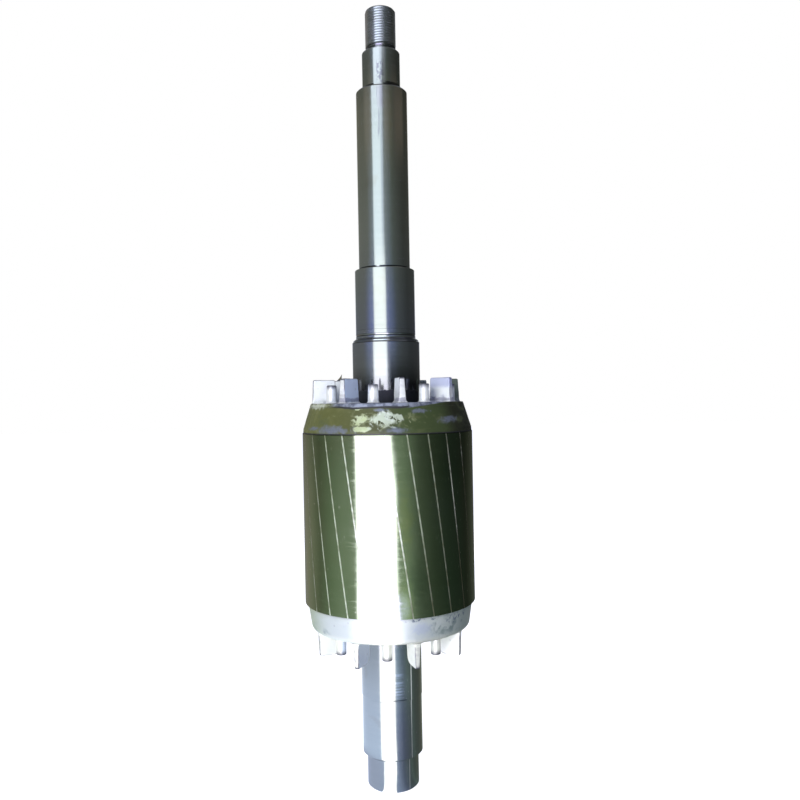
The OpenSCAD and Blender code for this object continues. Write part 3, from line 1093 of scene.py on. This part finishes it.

# %% [markdown]
# ## Turned steel
# The shaft is bright, slightly warm steel. It is all metal, so its look is the room that it mirrors, and
# the finish is in what breaks that mirror: rings from the lathe, streaks and specks where it was handled,
# and black lacquer round the foot of the shoulder. Light and shade are also painted on it: pale glints beside
# the highlight, painted shade in the corners and grooves and at one side, painted light and shade on a bevel,
# a dark streak that is a painted reflection of a peg, and a darkening above the lacquer that stands in for
# the shaded blades that the shaft mirrors. Turns are in degrees from the front, and heights in millimetres.

# %% Turned steel: the bare metal
tree, turn, height = new_finish("turned_steel", 1.0, 0.16)
marks = use(tree, rings, rings_per_mm=1.2, waver=14)
# Rings picked out as painted glints: pale ticks beside the highlight.
painted_glint_ticks = between(use(tree, rings, rings_per_mm=0.6, waver=8)["Fine"], 0.44, 0.56)
streaks = stains(tree, 420, 0.5, 0.14, 6.1, 0.05)
specks = stains(tree, 330, 0.55, 0.1, 2.7, 0.7)
in_front = band(turn, -22, 7, 3)
aside = maths("SUBTRACT", 1.0, in_front)
above_core = between(height, 300, 301)
below_core = fade(height, 196, 206)
scratch = times(band(turn, 38.4, 40.4, 0.5), below_core, between(height, 60, 130, 0.35, 1.0))
steel = paint(
    blend(marks["Broad"], (0.50, 0.52, 0.50), (0.57, 0.59, 0.56)),
    (between(height, 864, 867), 1.0, (0.66, 0.68, 0.70)),
    (stains(tree, 28, 0.42, 0.10, 3.1), 0.15, (0.40, 0.35, 0.28)),
    (times(streaks, band(turn, -15, 4, 3), band(height, 752, 811, 8)), 0.5, (0.27, 0.25, 0.31)),
    (times(band(turn, -9, 6, 3), band(height, 784, 811, 5)), 0.35, (0.48, 0.42, 0.50)),
    (times(specks, band(turn, -13, 8, 3), band(height, 817, 841, 4)), 0.8, (0.29, 0.28, 0.33)),
    # Painted glints: pale ticks beside the highlight on the lower shaft.
    (times(painted_glint_ticks, band(turn, 8, 22, 4), band(height, 112, 142, 6)), 0.6, (0.95, 0.95, 1.0)),
    (scratch, 1.0, (0.66, 0.70, 0.64)),
    # Painted shade: a darker stripe on the right of the lower shaft.
    (times(band(turn, 41, 60, 2), below_core), 0.25, (0.28, 0.30, 0.27)),
    # Painted light and shade on the bevel under the seat: near white in the highlight, bluish dark beside it.
    (band(height, 517.6, 522.4, 0.4), 0.9, blend(in_front, (0.28, 0.31, 0.42), (0.92, 0.95, 1.0))))

# %% [markdown]
# Painted shade: dark lines are painted in the corners and grooves, where shade falls, and several of them
# break off where the highlight is. Each has its two heights, the share that it covers, and a
# mask for where round the shaft it shows.

# %% Turned steel: dark lines
painted_groove_shade = (
    (107.4, 108.6, 0.7, band(turn, 3, 28, 3)),
    (516.5, 517.4, 0.8, 1.0),
    (519.9, 520.9, 0.8, 1.0),
    (524.4, 525.6, 0.8, 1.0),
    (526.6, 527.2, 0.5, 1.0),
    (531.4, 532.0, 0.3, 1.0),
    (602.6, 604.8, 0.95, maths("SUBTRACT", 1.0, band(turn, -17, -10, 1.5))),
    (810.7, 812.4, 0.7, aside),
    (812.5, 816.4, 0.85, aside),
    (812.5, 818.5, 0.8, between(turn, 8, 20)),
    (861.0, 865.0, 0.6, 1.0))
steel = paint(steel, *((times(band(height, low, high, 0.25), where), share, (0.03, 0.035, 0.05))
                       for low, high, share, where in painted_groove_shade))

# %% [markdown]
# The lacquer has a ragged top. A dark streak above it is a painted reflection of a peg, and it takes the
# lacquer's finish. Above the lacquer the shaft is painted darker, as a stand-in for the shaded blades that it
# mirrors there; this darkening is strongest outside the highlight and comes and goes round the shaft, so it
# is the highest of several masks. Lacquer isn't metal, and it is duller than the steel.

# %% Turned steel: lacquer and painted darkening
collar_top = maths("MULTIPLY_ADD", noise(object_place(tree), 130.0, 4.0, 0.6), 7.0, 458.0)
collar = times(between(maths("SUBTRACT", collar_top, height), -0.4, 0.8), above_core)
# The dark streak in the highlight is a painted reflection of a peg.
lacquer_and_peg_reflection = most(collar, times(spots(tree, 0.15, 0.4, (-10, 468, 2.2, 9)), 0.7))
# Painted shade: the darkening that stands in for the mirrored, shaded blades.
painted_dark_reflection = most(
    fade(height, 455, 495, 0.55),
    times(fade(height, 468, 482, 0.9), most(band(turn, -150, -44, 6), band(turn, 26, 150, 6))),
    times(fade(maths("MULTIPLY_ADD", turn, 0.25, height), 470, 516, 0.9), band(turn, 7, 150, 4)),
    times(between(height, 457, 494, 1.0, 0.05), band(turn, -150, -26, 4)))
steel = paint(steel, (painted_dark_reflection, above_core, (0.060, 0.058, 0.068)), (lacquer_and_peg_reflection, 1.0, (0.010, 0.012, 0.018)))
smooth = maths("ADD", between(marks["Broad"], 0.2, 0.8, 0.13, 0.19), between(height, 861, 864, 0.0, 0.06))
set_shader(tree, Base_Color=steel, Metallic=maths("MULTIPLY_ADD", most(lacquer_and_peg_reflection, scratch), -0.85, 1.0),
           Roughness=maths("MULTIPLY_ADD", lacquer_and_peg_reflection, 0.3, smooth), Normal=bump(marks["Fine"], 0.25, 0.02))
wear("turned_steel", shaft)

# %% [markdown]
# ## The turned core
# Electrical sheet has a thin green-gold varnish, and turning the stack to size leaves a skin that is part
# bare metal, part varnish. It is darker and greener than the shaft. Single rings are duller than the rest,
# so they smear the highlight's edge into short ticks, and small pale flecks show where a sheet was nicked.
# A dark line is left where the stack meets the upper ring.

# %% Finish: lamination steel
joint_line = (412.3, 413.0)
tree, turn, height = new_finish("lamination_steel", 1.0, 0.14)
marks = use(tree, rings, rings_per_mm=0.4, waver=45)
flecks = use(tree, skin, lumps_per_mm=0.2, pits_per_mm=0.075)
sheets = paint(
    blend(marks["Broad"], (0.36, 0.47, 0.24), (0.44, 0.53, 0.31)),
    (stains(tree, 9, 0.5, 0.2, 1.7), 0.3, (0.45, 0.42, 0.24)),
    (times(flecks["Pits"], between(flecks["Lumps"], 0.54, 0.58)), 0.6, (0.80, 0.84, 0.62)),
    # Painted light: a pale glow right of the highlight, low on the core.
    (spots(tree, 0.2, 0.7, (8, 229, 7, 20)), 0.7, (0.68, 0.76, 0.70)),
    (spots(tree, 0.5, 1.0, (11, 322, 6, 46)), 0.5, (0.48, 0.55, 0.20)),
    # Painted shade: a darker patch on the right, low on the core.
    (spots(tree, 0.5, 1.0, (18, 255, 10, 38)), 0.45, (0.22, 0.31, 0.17)),
    (spots(tree, 0.5, 1.0, (44, 376, 16, 34)), 0.3, (0.20, 0.28, 0.16)),
    (spots(tree, 0.5, 1.0, (33, 330, 10, 34)), 0.3, (0.52, 0.60, 0.44)),
    (between(height, *joint_line), 0.8, (0.05, 0.06, 0.03)))
set_shader(tree, Base_Color=sheets, Roughness=between(marks["Fine"], 0.45, 0.72, 0.11, 0.21),
           Normal=bump(marks["Fine"], 0.3, 0.03))
wear("lamination_steel", core)

# %% [markdown]
# The bars are turned with the core, but aluminium smears and dulls, so they show as pale matt lines, whose
# brightness comes and goes along their length. They are painted darker towards both sides, as shade, and
# one bright patch on the right is a painted highlight.

# %% Finish: bar aluminium
tree, turn, height = new_finish("bar_aluminium", 0.65, 0.3)
uneven = use(tree, rings, rings_per_mm=0.1, waver=20)["Fine"]
# Painted shade: the bars are darker towards both sides and low on the right.
painted_side_shade = most(fade(turn, -70, -40, 0.85), between(turn, 10, 56, 0.0, 0.95),
            times(fade(height, 225, 335, 0.75), band(turn, 14, 60, 5)))
set_shader(tree, Base_Color=paint(
    blend(between(uneven, 0.35, 0.62), (0.40, 0.45, 0.28), (0.82, 0.90, 0.70)),
    (painted_side_shade, band(turn, -110, 110, 14), (0.12, 0.11, 0.06)),
    # Painted highlight: one bright patch on the bars at the right.
    (spots(tree, 0.4, 0.9, (49, 364, 10, 75)), 1.0, (1.0, 0.99, 0.82)),
    (between(height, *joint_line), 0.9, (0.03, 0.04, 0.02))))
wear("bar_aluminium", bars)

# %% [markdown]
# ## The castings
# The lower ring and the blades are bare aluminium as it left the mould: pale and satin, with dark outlines
# painted along their rims as shade. What they share is made by one function, and each adds its own marks.

# %% What bare castings share
def bare_casting(name, light, shade, edge_shade, metallic):
    """A bare casting's tree, turn, height and colour, before the marks that are its own."""
    tree, turn, height = new_finish(name, metallic, 0.38)
    low = fade(height, 188, 196)
    beside = between(use(tree, sideways)["Share"], 0.6, 0.95)
    left_of_front = band(turn, -50, -14, 4)
    grain = use(tree, skin, lumps_per_mm=0.22, pits_per_mm=0.1)
    colour = paint(
        blend(stains(tree, 55, 0.5, 0.25, 5.3), light, shade),
        # Painted light: the lower castings are made nearly white.
        (low, 0.85, (1.0, 1.0, 0.85)),
        # Painted shade: the flanks are bluer, most of all on the blades left of the front.
        (beside, maths("MULTIPLY_ADD", left_of_front, 0.5, 0.12), blend(low, (0.55, 0.72, 1.0), (0.60, 0.74, 1.0))),
        (grain["Pits"], 0.25, (0.30, 0.30, 0.34)),
        # Painted shade in corners and where parts meet.
        (use(tree, crevice, reach_mm=9)["Mask"], maths("MULTIPLY_ADD", low, -0.6, 0.75), (0.10, 0.10, 0.15)),
        # Painted shade: dark outlines along the rims.
        (use(tree, rim, low=0.512, high=0.535)["Mask"], edge_shade, (0.06, 0.06, 0.09)))
    set_shader(tree, Roughness=between(grain["Lumps"], 0.3, 0.7, 0.30, 0.46), Normal=bump(grain["Height"], 0.5, 0.15))
    return tree, turn, height, colour

# %% [markdown]
# The lower ring is painted darker grey-green at its sides, as shade, and it is mottled and scuffed in front,
# on the right. A lilac patch near its top, on the right, is a painted shadow.

# %% Finish: the lower ring
tree, turn, height, metal = bare_casting("bare_casting", (0.80, 0.84, 0.80), (0.74, 0.79, 0.78), 0.1, 0.6)
mottled = times(stains(tree, 70, 0.55, 0.12, 8.4), spots(tree, 0.4, 0.8, (48, 203, 24, 18), (-58, 194, 14, 6)))
fine = times(stains(tree, 190, 0.5, 0.1, 5.2), spots(tree, 0.3, 0.6, (25, 215, 17, 3.5), (50, 210, 14, 6)))
set_shader(tree, Base_Color=paint(
    metal,
    # Painted shade: darker grey-green at both sides of the ring.
    (band(turn, -116, -57, 16), 0.9, (0.53, 0.61, 0.40)),
    (band(turn, 46, 128, 16), 0.65, (0.40, 0.49, 0.42)),
    (mottled, 0.85, (0.30, 0.38, 0.36)),
    # Painted shadow: a lilac patch near the top, on the right.
    (spots(tree, 0.4, 0.8, (21, 205, 9, 10)), 0.35, (0.55, 0.62, 0.85)),
    (fine, 0.9, (0.18, 0.22, 0.30))))
wear("bare_casting", lower_ring)

# %% [markdown]
# On the right, from a turn of about ninety degrees, the blades are darker in noisy patches. The feet of the
# blades, a lilac band, a bluer patch and small dark patches on single blades are painted shade, and the fin
# that stands above them is dark.

# %% Finish: the blades, pegs and fin
tree, turn, height, metal = bare_casting("blade_casting", (0.95, 0.97, 0.93), (0.72, 0.75, 0.84), 0.95, 0.35)
blade_patch_noise = noise(object_place(tree), 60.0, 4.0, 0.6)
right_side_dark = times(between(turn, 80, 92), between(height, 440, 447))
# Painted shade: darker at the feet of the blades.
root = times(fade(height, 448.5, 454.5), between(height, 440, 446), between(blade_patch_noise, 0.42, 0.6))
painted_shade_colour = (0.16, 0.16, 0.25)
set_shader(tree, Base_Color=paint(
    metal,
    (right_side_dark, between(blade_patch_noise, 0.2, 0.5), (0.14, 0.17, 0.14)),
    (root, 0.6, (0.33, 0.34, 0.36)),
    # Painted shade: a lilac band at the top of one blade.
    (times(band(turn, 46, 72, 2), between(height, 461, 467)), 0.7, (0.40, 0.44, 0.66)),
    # Painted shade: a bluer patch on the flank of one blade.
    (spots(tree, 0.4, 0.9, (-38, 463, 4, 9)), 0.6, (0.66, 0.72, 1.0)),
    # Painted shade and shadow: small dark patches on single blades and at their feet.
    (spots(tree, 0.3, 0.5, (51, 455, 3, 7)), 0.7, painted_shade_colour),
    (spots(tree, 0.2, 0.4, (15.5, 461, 1.2, 4)), 0.75, painted_shade_colour),
    (spots(tree, 0.4, 0.6, (-33, 451, 9, 3), (57, 450, 9, 3), (12, 450.5, 7, 3)), 0.6, painted_shade_colour),
    (between(height, 475.3, 476.2), 1.0, (0.14, 0.13, 0.08))))
blade_like = ("upper_blade", "lower_blade", "upper_peg", "lower_peg", "casting_fin")
wear("blade_casting", *(piece for piece in bpy.data.objects if piece.name.startswith(blade_like)))

# %% [markdown]
# The upper ring was brushed with olive varnish. It is painted light at the left and dark and brown at the
# right and at the back, partly as thin and thick varnish and partly as painted shade. It has flaked off in
# front, where pale metal and chalky primer show, and metal shows in smears along the foot. The lip along its
# free edge was wiped clean. Its corners are darkened with painted shade.

# %% Finish: varnished casting
tree, turn, height = new_finish("varnished_casting", 0.1, 0.42)
grain = use(tree, skin, lumps_per_mm=0.25, pits_per_mm=0.12)
brush = use(tree, rings, rings_per_mm=0.12, waver=40)["Fine"]
veins = stains(tree, 150, 0.42, 0.15, 1.3)
tone = stains(tree, 45, 0.5, 0.3, 2.2)
lit_thin_varnish = blend(tone, (0.115, 0.125, 0.038), (0.18, 0.185, 0.075))
shaded_thick_varnish = blend(tone, (0.024, 0.027, 0.012), (0.048, 0.052, 0.020))
# Partly thicker varnish and partly painted shade: darker at the right and at the back.
shaded_thick_side = most(between(turn, -75, 40), fade(turn, -170, -110))
pale = times(
    spots(tree, 0.55, 0.5, (-18, 430, 7, 6), (-1, 430, 11, 8.5), (8, 431, 4, 5), (-15, 419.5, 6, 3),
          (-19, 440.5, 2.5, 1.5)),
    stains(tree, 120, 0.62, 0.05, 7.9))
pale_colour = paint(
    blend(stains(tree, 60, 0.5, 0.12, 4.4), (0.53, 0.59, 0.46), (0.66, 0.71, 0.64)),
    (fade(turn, -14, -8), 0.7, (0.46, 0.52, 0.25)),
    (veins, 0.75, (0.21, 0.24, 0.15)))
lilac = spots(tree, 0.6, 0.9, (-36, 418.5, 18, 6), (-56, 420, 8, 3.5), (46, 428, 11, 4.5), (6, 418, 8, 4),
              (-4, 439.5, 7, 2), (24, 438, 8, 3))
brushed = times(stains(tree, 90, 0.5, 0.12, 3.7, 1.8), spots(tree, 0.5, 0.8, (-8, 430, 34, 13)))
veined = times(veins, spots(tree, 0.4, 0.8, (17, 428, 7, 9), (-15, 423, 8, 5)))
lip_height = maths("ADD", height, maths("MULTIPLY_ADD", noise(object_place(tree), 32.0), 6.0, -3.0))
lip_ends = times(between(turn, -46, -34), fade(turn, 14, 18))
rising = maths("SUBTRACT", height, maths("MULTIPLY_ADD", turn, 0.18, 438.8))
wiped = most(times(between(lip_height, 443.2, 443.8), lip_ends),
             times(between(rising, -0.3, 0.4), between(turn, 14, 17)))
wiped_mottle = between(noise(object_place(tree), 90.0, 4.0, 0.7), 0.4, 0.6)
varnish = paint(
    blend(shaded_thick_side, lit_thin_varnish, shaded_thick_varnish),
    (band(turn, 4, 46, 9), 0.75, (0.055, 0.080, 0.026)),
    (between(brush, 0.52, 0.7), 1.0, (0.085, 0.10, 0.04)),
    (spots(tree, 0.6, 0.8, (-60, 445, 20, 4.5)), 0.9, (0.46, 0.49, 0.38)),
    (brushed, 0.8, (0.26, 0.29, 0.15)),
    (veined, 0.7, (0.34, 0.37, 0.22)),
    (lilac, 0.9, (0.20, 0.225, 0.275)),
    (pale, 1.0, pale_colour),
    (wiped, 1.0, blend(wiped_mottle, (0.13, 0.145, 0.19), (0.33, 0.36, 0.44))),
    (most(times(band(lip_height, 441.6, 443.5, 0.3), lip_ends), fade(height, 414.2, 414.9)), 1.0, (0.03, 0.03, 0.03)),
    # Painted shade in the corners.
    (use(tree, crevice, reach_mm=7)["Mask"], 0.6, (0.06, 0.06, 0.07)))
set_shader(tree, Base_Color=varnish, Metallic=maths("MULTIPLY_ADD", most(wiped, pale, lilac), 0.4, 0.08),
           Roughness=between(grain["Lumps"], 0.3, 0.7, 0.34, 0.52),
           Normal=bump(maths("SUBTRACT", grain["Height"], times(pale, 0.6)), 0.6, 0.2))
wear("varnished_casting", upper_ring)

# %% [markdown]
# ## The studio
# Bright metal is only as good as what it mirrors. A tall softbox stands in front, a little to the left, and
# grey and dark cards stand round the rest. They stand in a ring round the object, and only mirror
# reflections see them, so they shade nothing. Each card's place is its turn from the camera in degrees,
# with the right hand positive. The cards are lighter high up, and the softbox is brightest low down. Heights
# and distances are in metres here.

# %% The softbox and the cards
softbox_left = [
    (0, -40.8), (0.45, -40.8), (0.6, -42.2), (0.83, -42.6), (0.9, -44.8), (1.15, -44.2), (1.3, -45.4),
    (1.36, -45.0), (1.42, -47.0), (1.5, -47.2), (1.55, -46), (2.4, -46),
]
softbox_right = [
    (0, 9.6), (0.2, 10.6), (0.3, 5.2), (0.35, 5.4), (0.6, 4.5), (0.72, 3.6), (0.84, 4.6), (0.88, 0.5),
    (1.05, 1.2), (1.2, 2.6), (1.4, 3.2), (1.43, 4.0), (1.5, 4.6), (1.53, 10), (2.4, 10),
]
softbox_light = [
    (0, 4.3, 3.8, 6.0), (0.38, 4.3, 3.8, 6.0), (0.44, 3.4, 3.4, 3.8), (0.50, 2.2, 2.2, 2.4),
    (0.55, 1.6, 1.7, 1.75), (0.72, 1.62, 1.72, 1.75), (0.83, 2.0, 2.1, 2.05), (0.87, 1.35, 1.54, 1.72),
    (1.24, 1.30, 1.50, 1.62), (1.34, 1.12, 1.26, 1.40), (1.42, 1.40, 1.55, 1.80), (1.5, 1.40, 1.55, 1.80),
    (1.56, 1.60, 1.75, 2.05), (2.4, 1.60, 1.75, 2.05),
]
low_cards = [
    (-180, 0.10, 0.10, 0.09), (-160, 0.25, 0.25, 0.24), (-140, 0.30, 0.27, 0.25), (-120, 0.27, 0.26, 0.25),
    (-100, 0.16, 0.17, 0.155), (-80, 0.23, 0.27, 0.25), (-60, 0.33, 0.37, 0.38), (18, 0.34, 0.40, 0.40),
    (40, 0.11, 0.13, 0.13), (60, 0.052, 0.066, 0.062), (80, 0.031, 0.042, 0.042),
    (100, 0.025, 0.033, 0.034), (120, 0.024, 0.026, 0.026), (140, 0.06, 0.062, 0.058),
    (160, 0.10, 0.10, 0.09), (180, 0.10, 0.10, 0.09),
]
high_cards = [
    (-180, 0.40, 0.42, 0.42), (-161, 0.40, 0.42, 0.42), (-157, 0.18, 0.19, 0.17), (-75, 0.19, 0.20, 0.18),
    (-53, 0.27, 0.32, 0.36), (8, 0.26, 0.31, 0.34), (20, 0.19, 0.23, 0.25), (40, 0.11, 0.13, 0.12),
    (62, 0.08, 0.09, 0.085), (95, 0.05, 0.055, 0.05), (157, 0.06, 0.06, 0.055), (161, 0.40, 0.42, 0.42),
    (180, 0.40, 0.42, 0.42),
]
card_tint = [
    (0, 1.0, 1.0, 1.0), (0.15, 0.93, 0.92, 0.92), (0.35, 0.72, 0.71, 0.70), (0.42, 0.75, 0.75, 0.75),
    (0.56, 0.86, 0.85, 1.0), (0.66, 0.92, 0.94, 1.26), (0.8, 1.0, 1.02, 1.12), (0.95, 1.15, 1.15, 1.15),
    (1.1, 1.0, 1.0, 0.95), (1.32, 1.06, 0.98, 0.86), (1.42, 0.62, 0.64, 0.62), (1.5, 0.62, 0.64, 0.66),
    (1.56, 1.0, 1.0, 1.15), (2.4, 1.0, 1.0, 1.15),
]

# %% [markdown]
# Close to its foot, the object mirrors the floor. The softbox and the cards lie on it as they stand on the
# wall, and there the distance from the axis takes the place of the height.

# %% What lies on the floor
floor_softbox_left = [
    (0, -26), (0.04, -27), (0.08, -32.5), (0.115, -33.5), (0.125, -37.8), (0.19, -40.2), (0.3, -43),
    (0.53, -43.8), (0.9, -41), (1.5, -40.8),
]
floor_softbox_right = [
    (0, 6), (0.045, 8), (0.08, 12), (0.11, 13), (0.2, 11), (0.33, 12), (0.43, 14), (0.55, 13.5),
    (0.95, 10.5), (1.5, 9.6),
]
floor_softbox_light = [
    (0, 3.2, 3.2, 3.2), (0.15, 3.0, 3.0, 3.0), (0.3, 2.4, 2.4, 2.4), (0.55, 2.2, 2.2, 2.25),
    (0.85, 4.3, 3.8, 6.0), (1.5, 4.3, 3.8, 6.0),
]
floor_cards = [
    (-180, 1.1, 1.2, 1.3), (-150, 0.95, 1.05, 1.15), (-130, 0.66, 0.78, 0.96), (-53, 0.68, 0.81, 1.00),
    (14, 0.55, 0.74, 0.98), (40, 0.21, 0.28, 0.37), (60, 0.19, 0.26, 0.26), (90, 0.10, 0.12, 0.12),
    (125, 0.10, 0.106, 0.095), (150, 0.26, 0.26, 0.22), (180, 1.1, 1.2, 1.3),
]

floor_tint_left = [
    (0, 0.78, 0.76, 0.85), (0.112, 0.78, 0.76, 0.85), (0.128, 1.12, 1.14, 1.25), (0.3, 1.06, 1.05, 1.14),
    (0.38, 0.98, 0.96, 1.02), (0.45, 0.84, 0.82, 0.86), (0.55, 0.70, 0.68, 0.72), (0.75, 1.0, 1.0, 1.0),
    (1.5, 1.0, 1.0, 1.0),
]
floor_tint_right = [
    (0, 0.62, 0.58, 0.66), (0.11, 0.62, 0.58, 0.66), (0.13, 0.52, 0.47, 0.56), (0.24, 0.60, 0.55, 0.66),
    (0.32, 0.66, 0.64, 0.68), (0.36, 0.92, 0.90, 0.94), (0.45, 0.84, 0.84, 0.84), (0.55, 0.66, 0.66, 0.66),
    (0.75, 1.0, 1.0, 1.0), (1.5, 1.0, 1.0, 1.0),
]

# %% [markdown]
# The group puts these together. The wall has low and high cards, tinted by height, and the softbox is laid
# over them, with a dimmer pane in it. The floor has cards of its own, and the low cards again further out.

# %% Group: softboxes and cards
wall_top = 2.4
wall_r = 1.5
softbox_spread = 60
studio, _ = new_group("softboxes and cards")
studio_here = use(studio, around)
turn = studio_here["Turn"]
height, radius = (times(studio_here[measure], MM) for measure in ("Height", "Radius"))


def card_ring(cards):
    """Cards by their turn from the camera."""
    return steps(maths("ADD", turn, 180), 360, [(place + 180, *colour) for place, *colour in cards])


def softbox_mask(value, top, left, right):
    """Where the softbox is, with a crisp left edge and a softer right one."""
    past_left, past_right = (maths("SUBTRACT", turn, steps(value, top, side, softbox_spread))
                             for side in (left, right))
    return times(between(past_left, -1.2, 1.2), fade(past_right, -2.5, 2.5))


pane = times(between(turn, -9, -6), between(height, 0.86, 0.90), between(height, 1.16, 1.26, 0.36, 0.26))
light = blend(pane, steps(height, wall_top, softbox_light), (0, 0, 0.25))
low_wall = card_ring(low_cards)
wall = blend(between(height, 0.40, 0.56), low_wall, card_ring(high_cards))
wall = blend(1.0, wall, steps(height, wall_top, card_tint), "MULTIPLY")
wall = blend(times(band(turn, -74, 42, 14), band(height, 0.61, 0.79, 0.05)), wall, (1.0, 1.02, 1.5), "MULTIPLY")
brown_air = band(height, 1.20, 1.40, 0.05)
wall = paint(wall, (brown_air, band(turn, 56, 108, 10), (0.145, 0.125, 0.10)),
             (brown_air, band(turn, -84, -44, 10), (0.30, 0.28, 0.23)))
wall = blend(times(brown_air, band(turn, 10, 50, 8)), wall, (1.42, 1.20, 1.04), "MULTIPLY")
wall = paint(
    wall,
    (band(turn, 2, 24, 7), between(height, 1.48, 1.54), (0.62, 0.66, 0.78)),
    (softbox_mask(height, wall_top, softbox_left, softbox_right), 1.0, light),
    (between(height, wall_top - 0.03, wall_top - 0.01), 1.0, (0.22, 0.22, 0.22)))

tints = [steps(radius, wall_r, tint) for tint in (floor_tint_left, floor_tint_right)]
tint = paint(blend(between(turn, -20, -10), *tints), (between(turn, 66, 82), 1.0, (0.95, 1.0, 0.96)))
ground = blend(between(radius, 0.55, 0.85), card_ring(floor_cards), low_wall)
ground = paint(
    blend(1.0, ground, tint, "MULTIPLY"),
    (band(turn, 12, 27, 5), band(radius, 0.86, 1.15, 0.06), (0.62, 0.70, 0.62)),
    (softbox_mask(radius, wall_r, floor_softbox_left, floor_softbox_right), 1.0,
     steps(radius, wall_r, floor_softbox_light)))
give(studio, wall_colour=wall, floor_colour=ground)

# %% [markdown]
# The ring of cards is a wall nearly two and a half metres high, with a dim ceiling. It is spun like the
# turned parts, and only mirror reflections see it. It gives off light and has no shader of its own.

# %% The ring of cards
wall_facets = 96


def new_light_finish(name):
    """A material without a shader, whose light falls on nothing. Returns its tree and its surface input."""
    material = finishes[name] = bpy.data.materials.new(name)
    material.use_nodes = True
    material.cycles.emission_sampling = "NONE"
    tree = material.node_tree
    tree.nodes.remove(tree.nodes["Principled BSDF"])
    return tree, tree.nodes["Material Output"].inputs["Surface"]


ring_of_cards = draw_outline("ring_of_cards", [(wall_r, 0), (wall_r, wall_top), (0, wall_top)])
spin_outline(ring_of_cards, wall_facets)
tree, surface = new_light_finish("softboxes_and_cards")
tree.links.new(node(tree, "Emission", {"Color": use(tree, studio)["Wall colour"]}).outputs[0], surface)
wear("softboxes_and_cards", ring_of_cards)
for ray in ("camera", "diffuse", "transmission", "volume_scatter", "shadow"):
    setattr(ring_of_cards, f"visible_{ray}", False)
ring_of_cards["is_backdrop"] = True

# %% [markdown]
# The floor is plain and pale. What the camera sees of it is lifted to white, and the soft shadow at the
# foot stays. Mirror reflections near the foot see the same softbox and cards lying on the floor.

# %% The floor
floor_size = 24
floor_lift = 0.80
clear()
bpy.ops.mesh.primitive_plane_add(size=floor_size)
floor = adopt("floor")
tree, surface = new_light_finish("pale_floor")
rays = node(tree, "LightPath").outputs
pale = node(tree, "BsdfDiffuse", {"Color": (0.8, 0.8, 0.8, 1)}).outputs[0]
to_camera = times(rays["Is Camera Ray"], floor_lift)
lift = node(tree, "Emission", {"Color": (1, 1, 1, 1), "Strength": to_camera}).outputs[0]
plain = node(tree, "AddShader", {0: pale, 1: lift}).outputs[0]
mirrored = node(tree, "Emission", {"Color": use(tree, studio)["Floor colour"]}).outputs[0]
mixed = node(tree, "MixShader", {0: rays["Is Glossy Ray"], 1: plain, 2: mirrored}).outputs[0]
tree.links.new(mixed, surface)
wear("pale_floor", floor)
floor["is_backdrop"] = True

# %% [markdown]
# The air of the studio is white to the camera, to mirrors and to glass, and a soft lilac grey to
# everything else, which fills the shadows. Two lamps give the rest of the light, large and soft.

# %% World and lamps
world = bpy.data.worlds.new("studio_air")
bpy.context.scene.world = world
world.use_nodes = True
air = world.node_tree
rays = node(air, "LightPath").outputs
seen = most(rays["Is Camera Ray"], rays["Is Glossy Ray"], rays["Is Transmission Ray"])
air.links.new(blend(seen, (0.32, 0.35, 0.52), (1, 1, 1)), air.nodes["Background"].inputs["Color"])


def lamp(name, place, target, size, power, colour):
    """A large soft lamp that mirrors don't see."""
    bpy.ops.object.light_add(type="AREA", location=place)
    light = bpy.context.object
    light.name = light.data.name = name
    light.rotation_euler = (Vector(target) - Vector(place)).to_track_quat("-Z", "Y").to_euler()
    light.data.shape = "DISK"
    light.data.size = size
    light.data.energy = power
    light.data.color = colour
    light.visible_glossy = False
    print(name, "gives", power, "watts")


middle = (0, 0, (shaft_low + shaft_high) / 2)
lamp("front_lamp", (-0.75, -1.75, 0.75), middle, 0.9, 36, (1.0, 1.0, 0.98))
lamp("back_lamp", (0.6, 1.8, 1.3), middle, 1.2, 16, (0.98, 0.99, 1.0))

# %% [markdown]
# The camera stands level, at half the rotor's height and a little under a metre away, as a phone is held.
# It is turned by one degree, as hands do.

# %% The camera
camera_place = (0.01546, -0.944, 0.45)
camera_roll = math.radians(1.03)
camera_lens = 36
bpy.ops.object.camera_add(location=camera_place, rotation=(math.radians(90), camera_roll, 0))
camera = bpy.context.object
camera.data.lens = camera_lens
camera.data.sensor_width = 36
camera.data.dof.use_dof = False
bpy.context.scene.camera = camera
bpy.context.scene.view_settings.view_transform = "Standard"

# %% [markdown]
# ## How far the pieces reach out of the frame
# How far the finished pieces reach outside the frame's box is printed, in millimetres.

# %% Sizes, and the end
visual_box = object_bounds()
grown = [round(max(c - v, 0) / MM, 2) for c, v in zip(cad_box[0], visual_box[0])]
grown += [round(max(v - c, 0) / MM, 2) for c, v in zip(cad_box[1], visual_box[1])]
print("millimetres outside the frame:", grown)
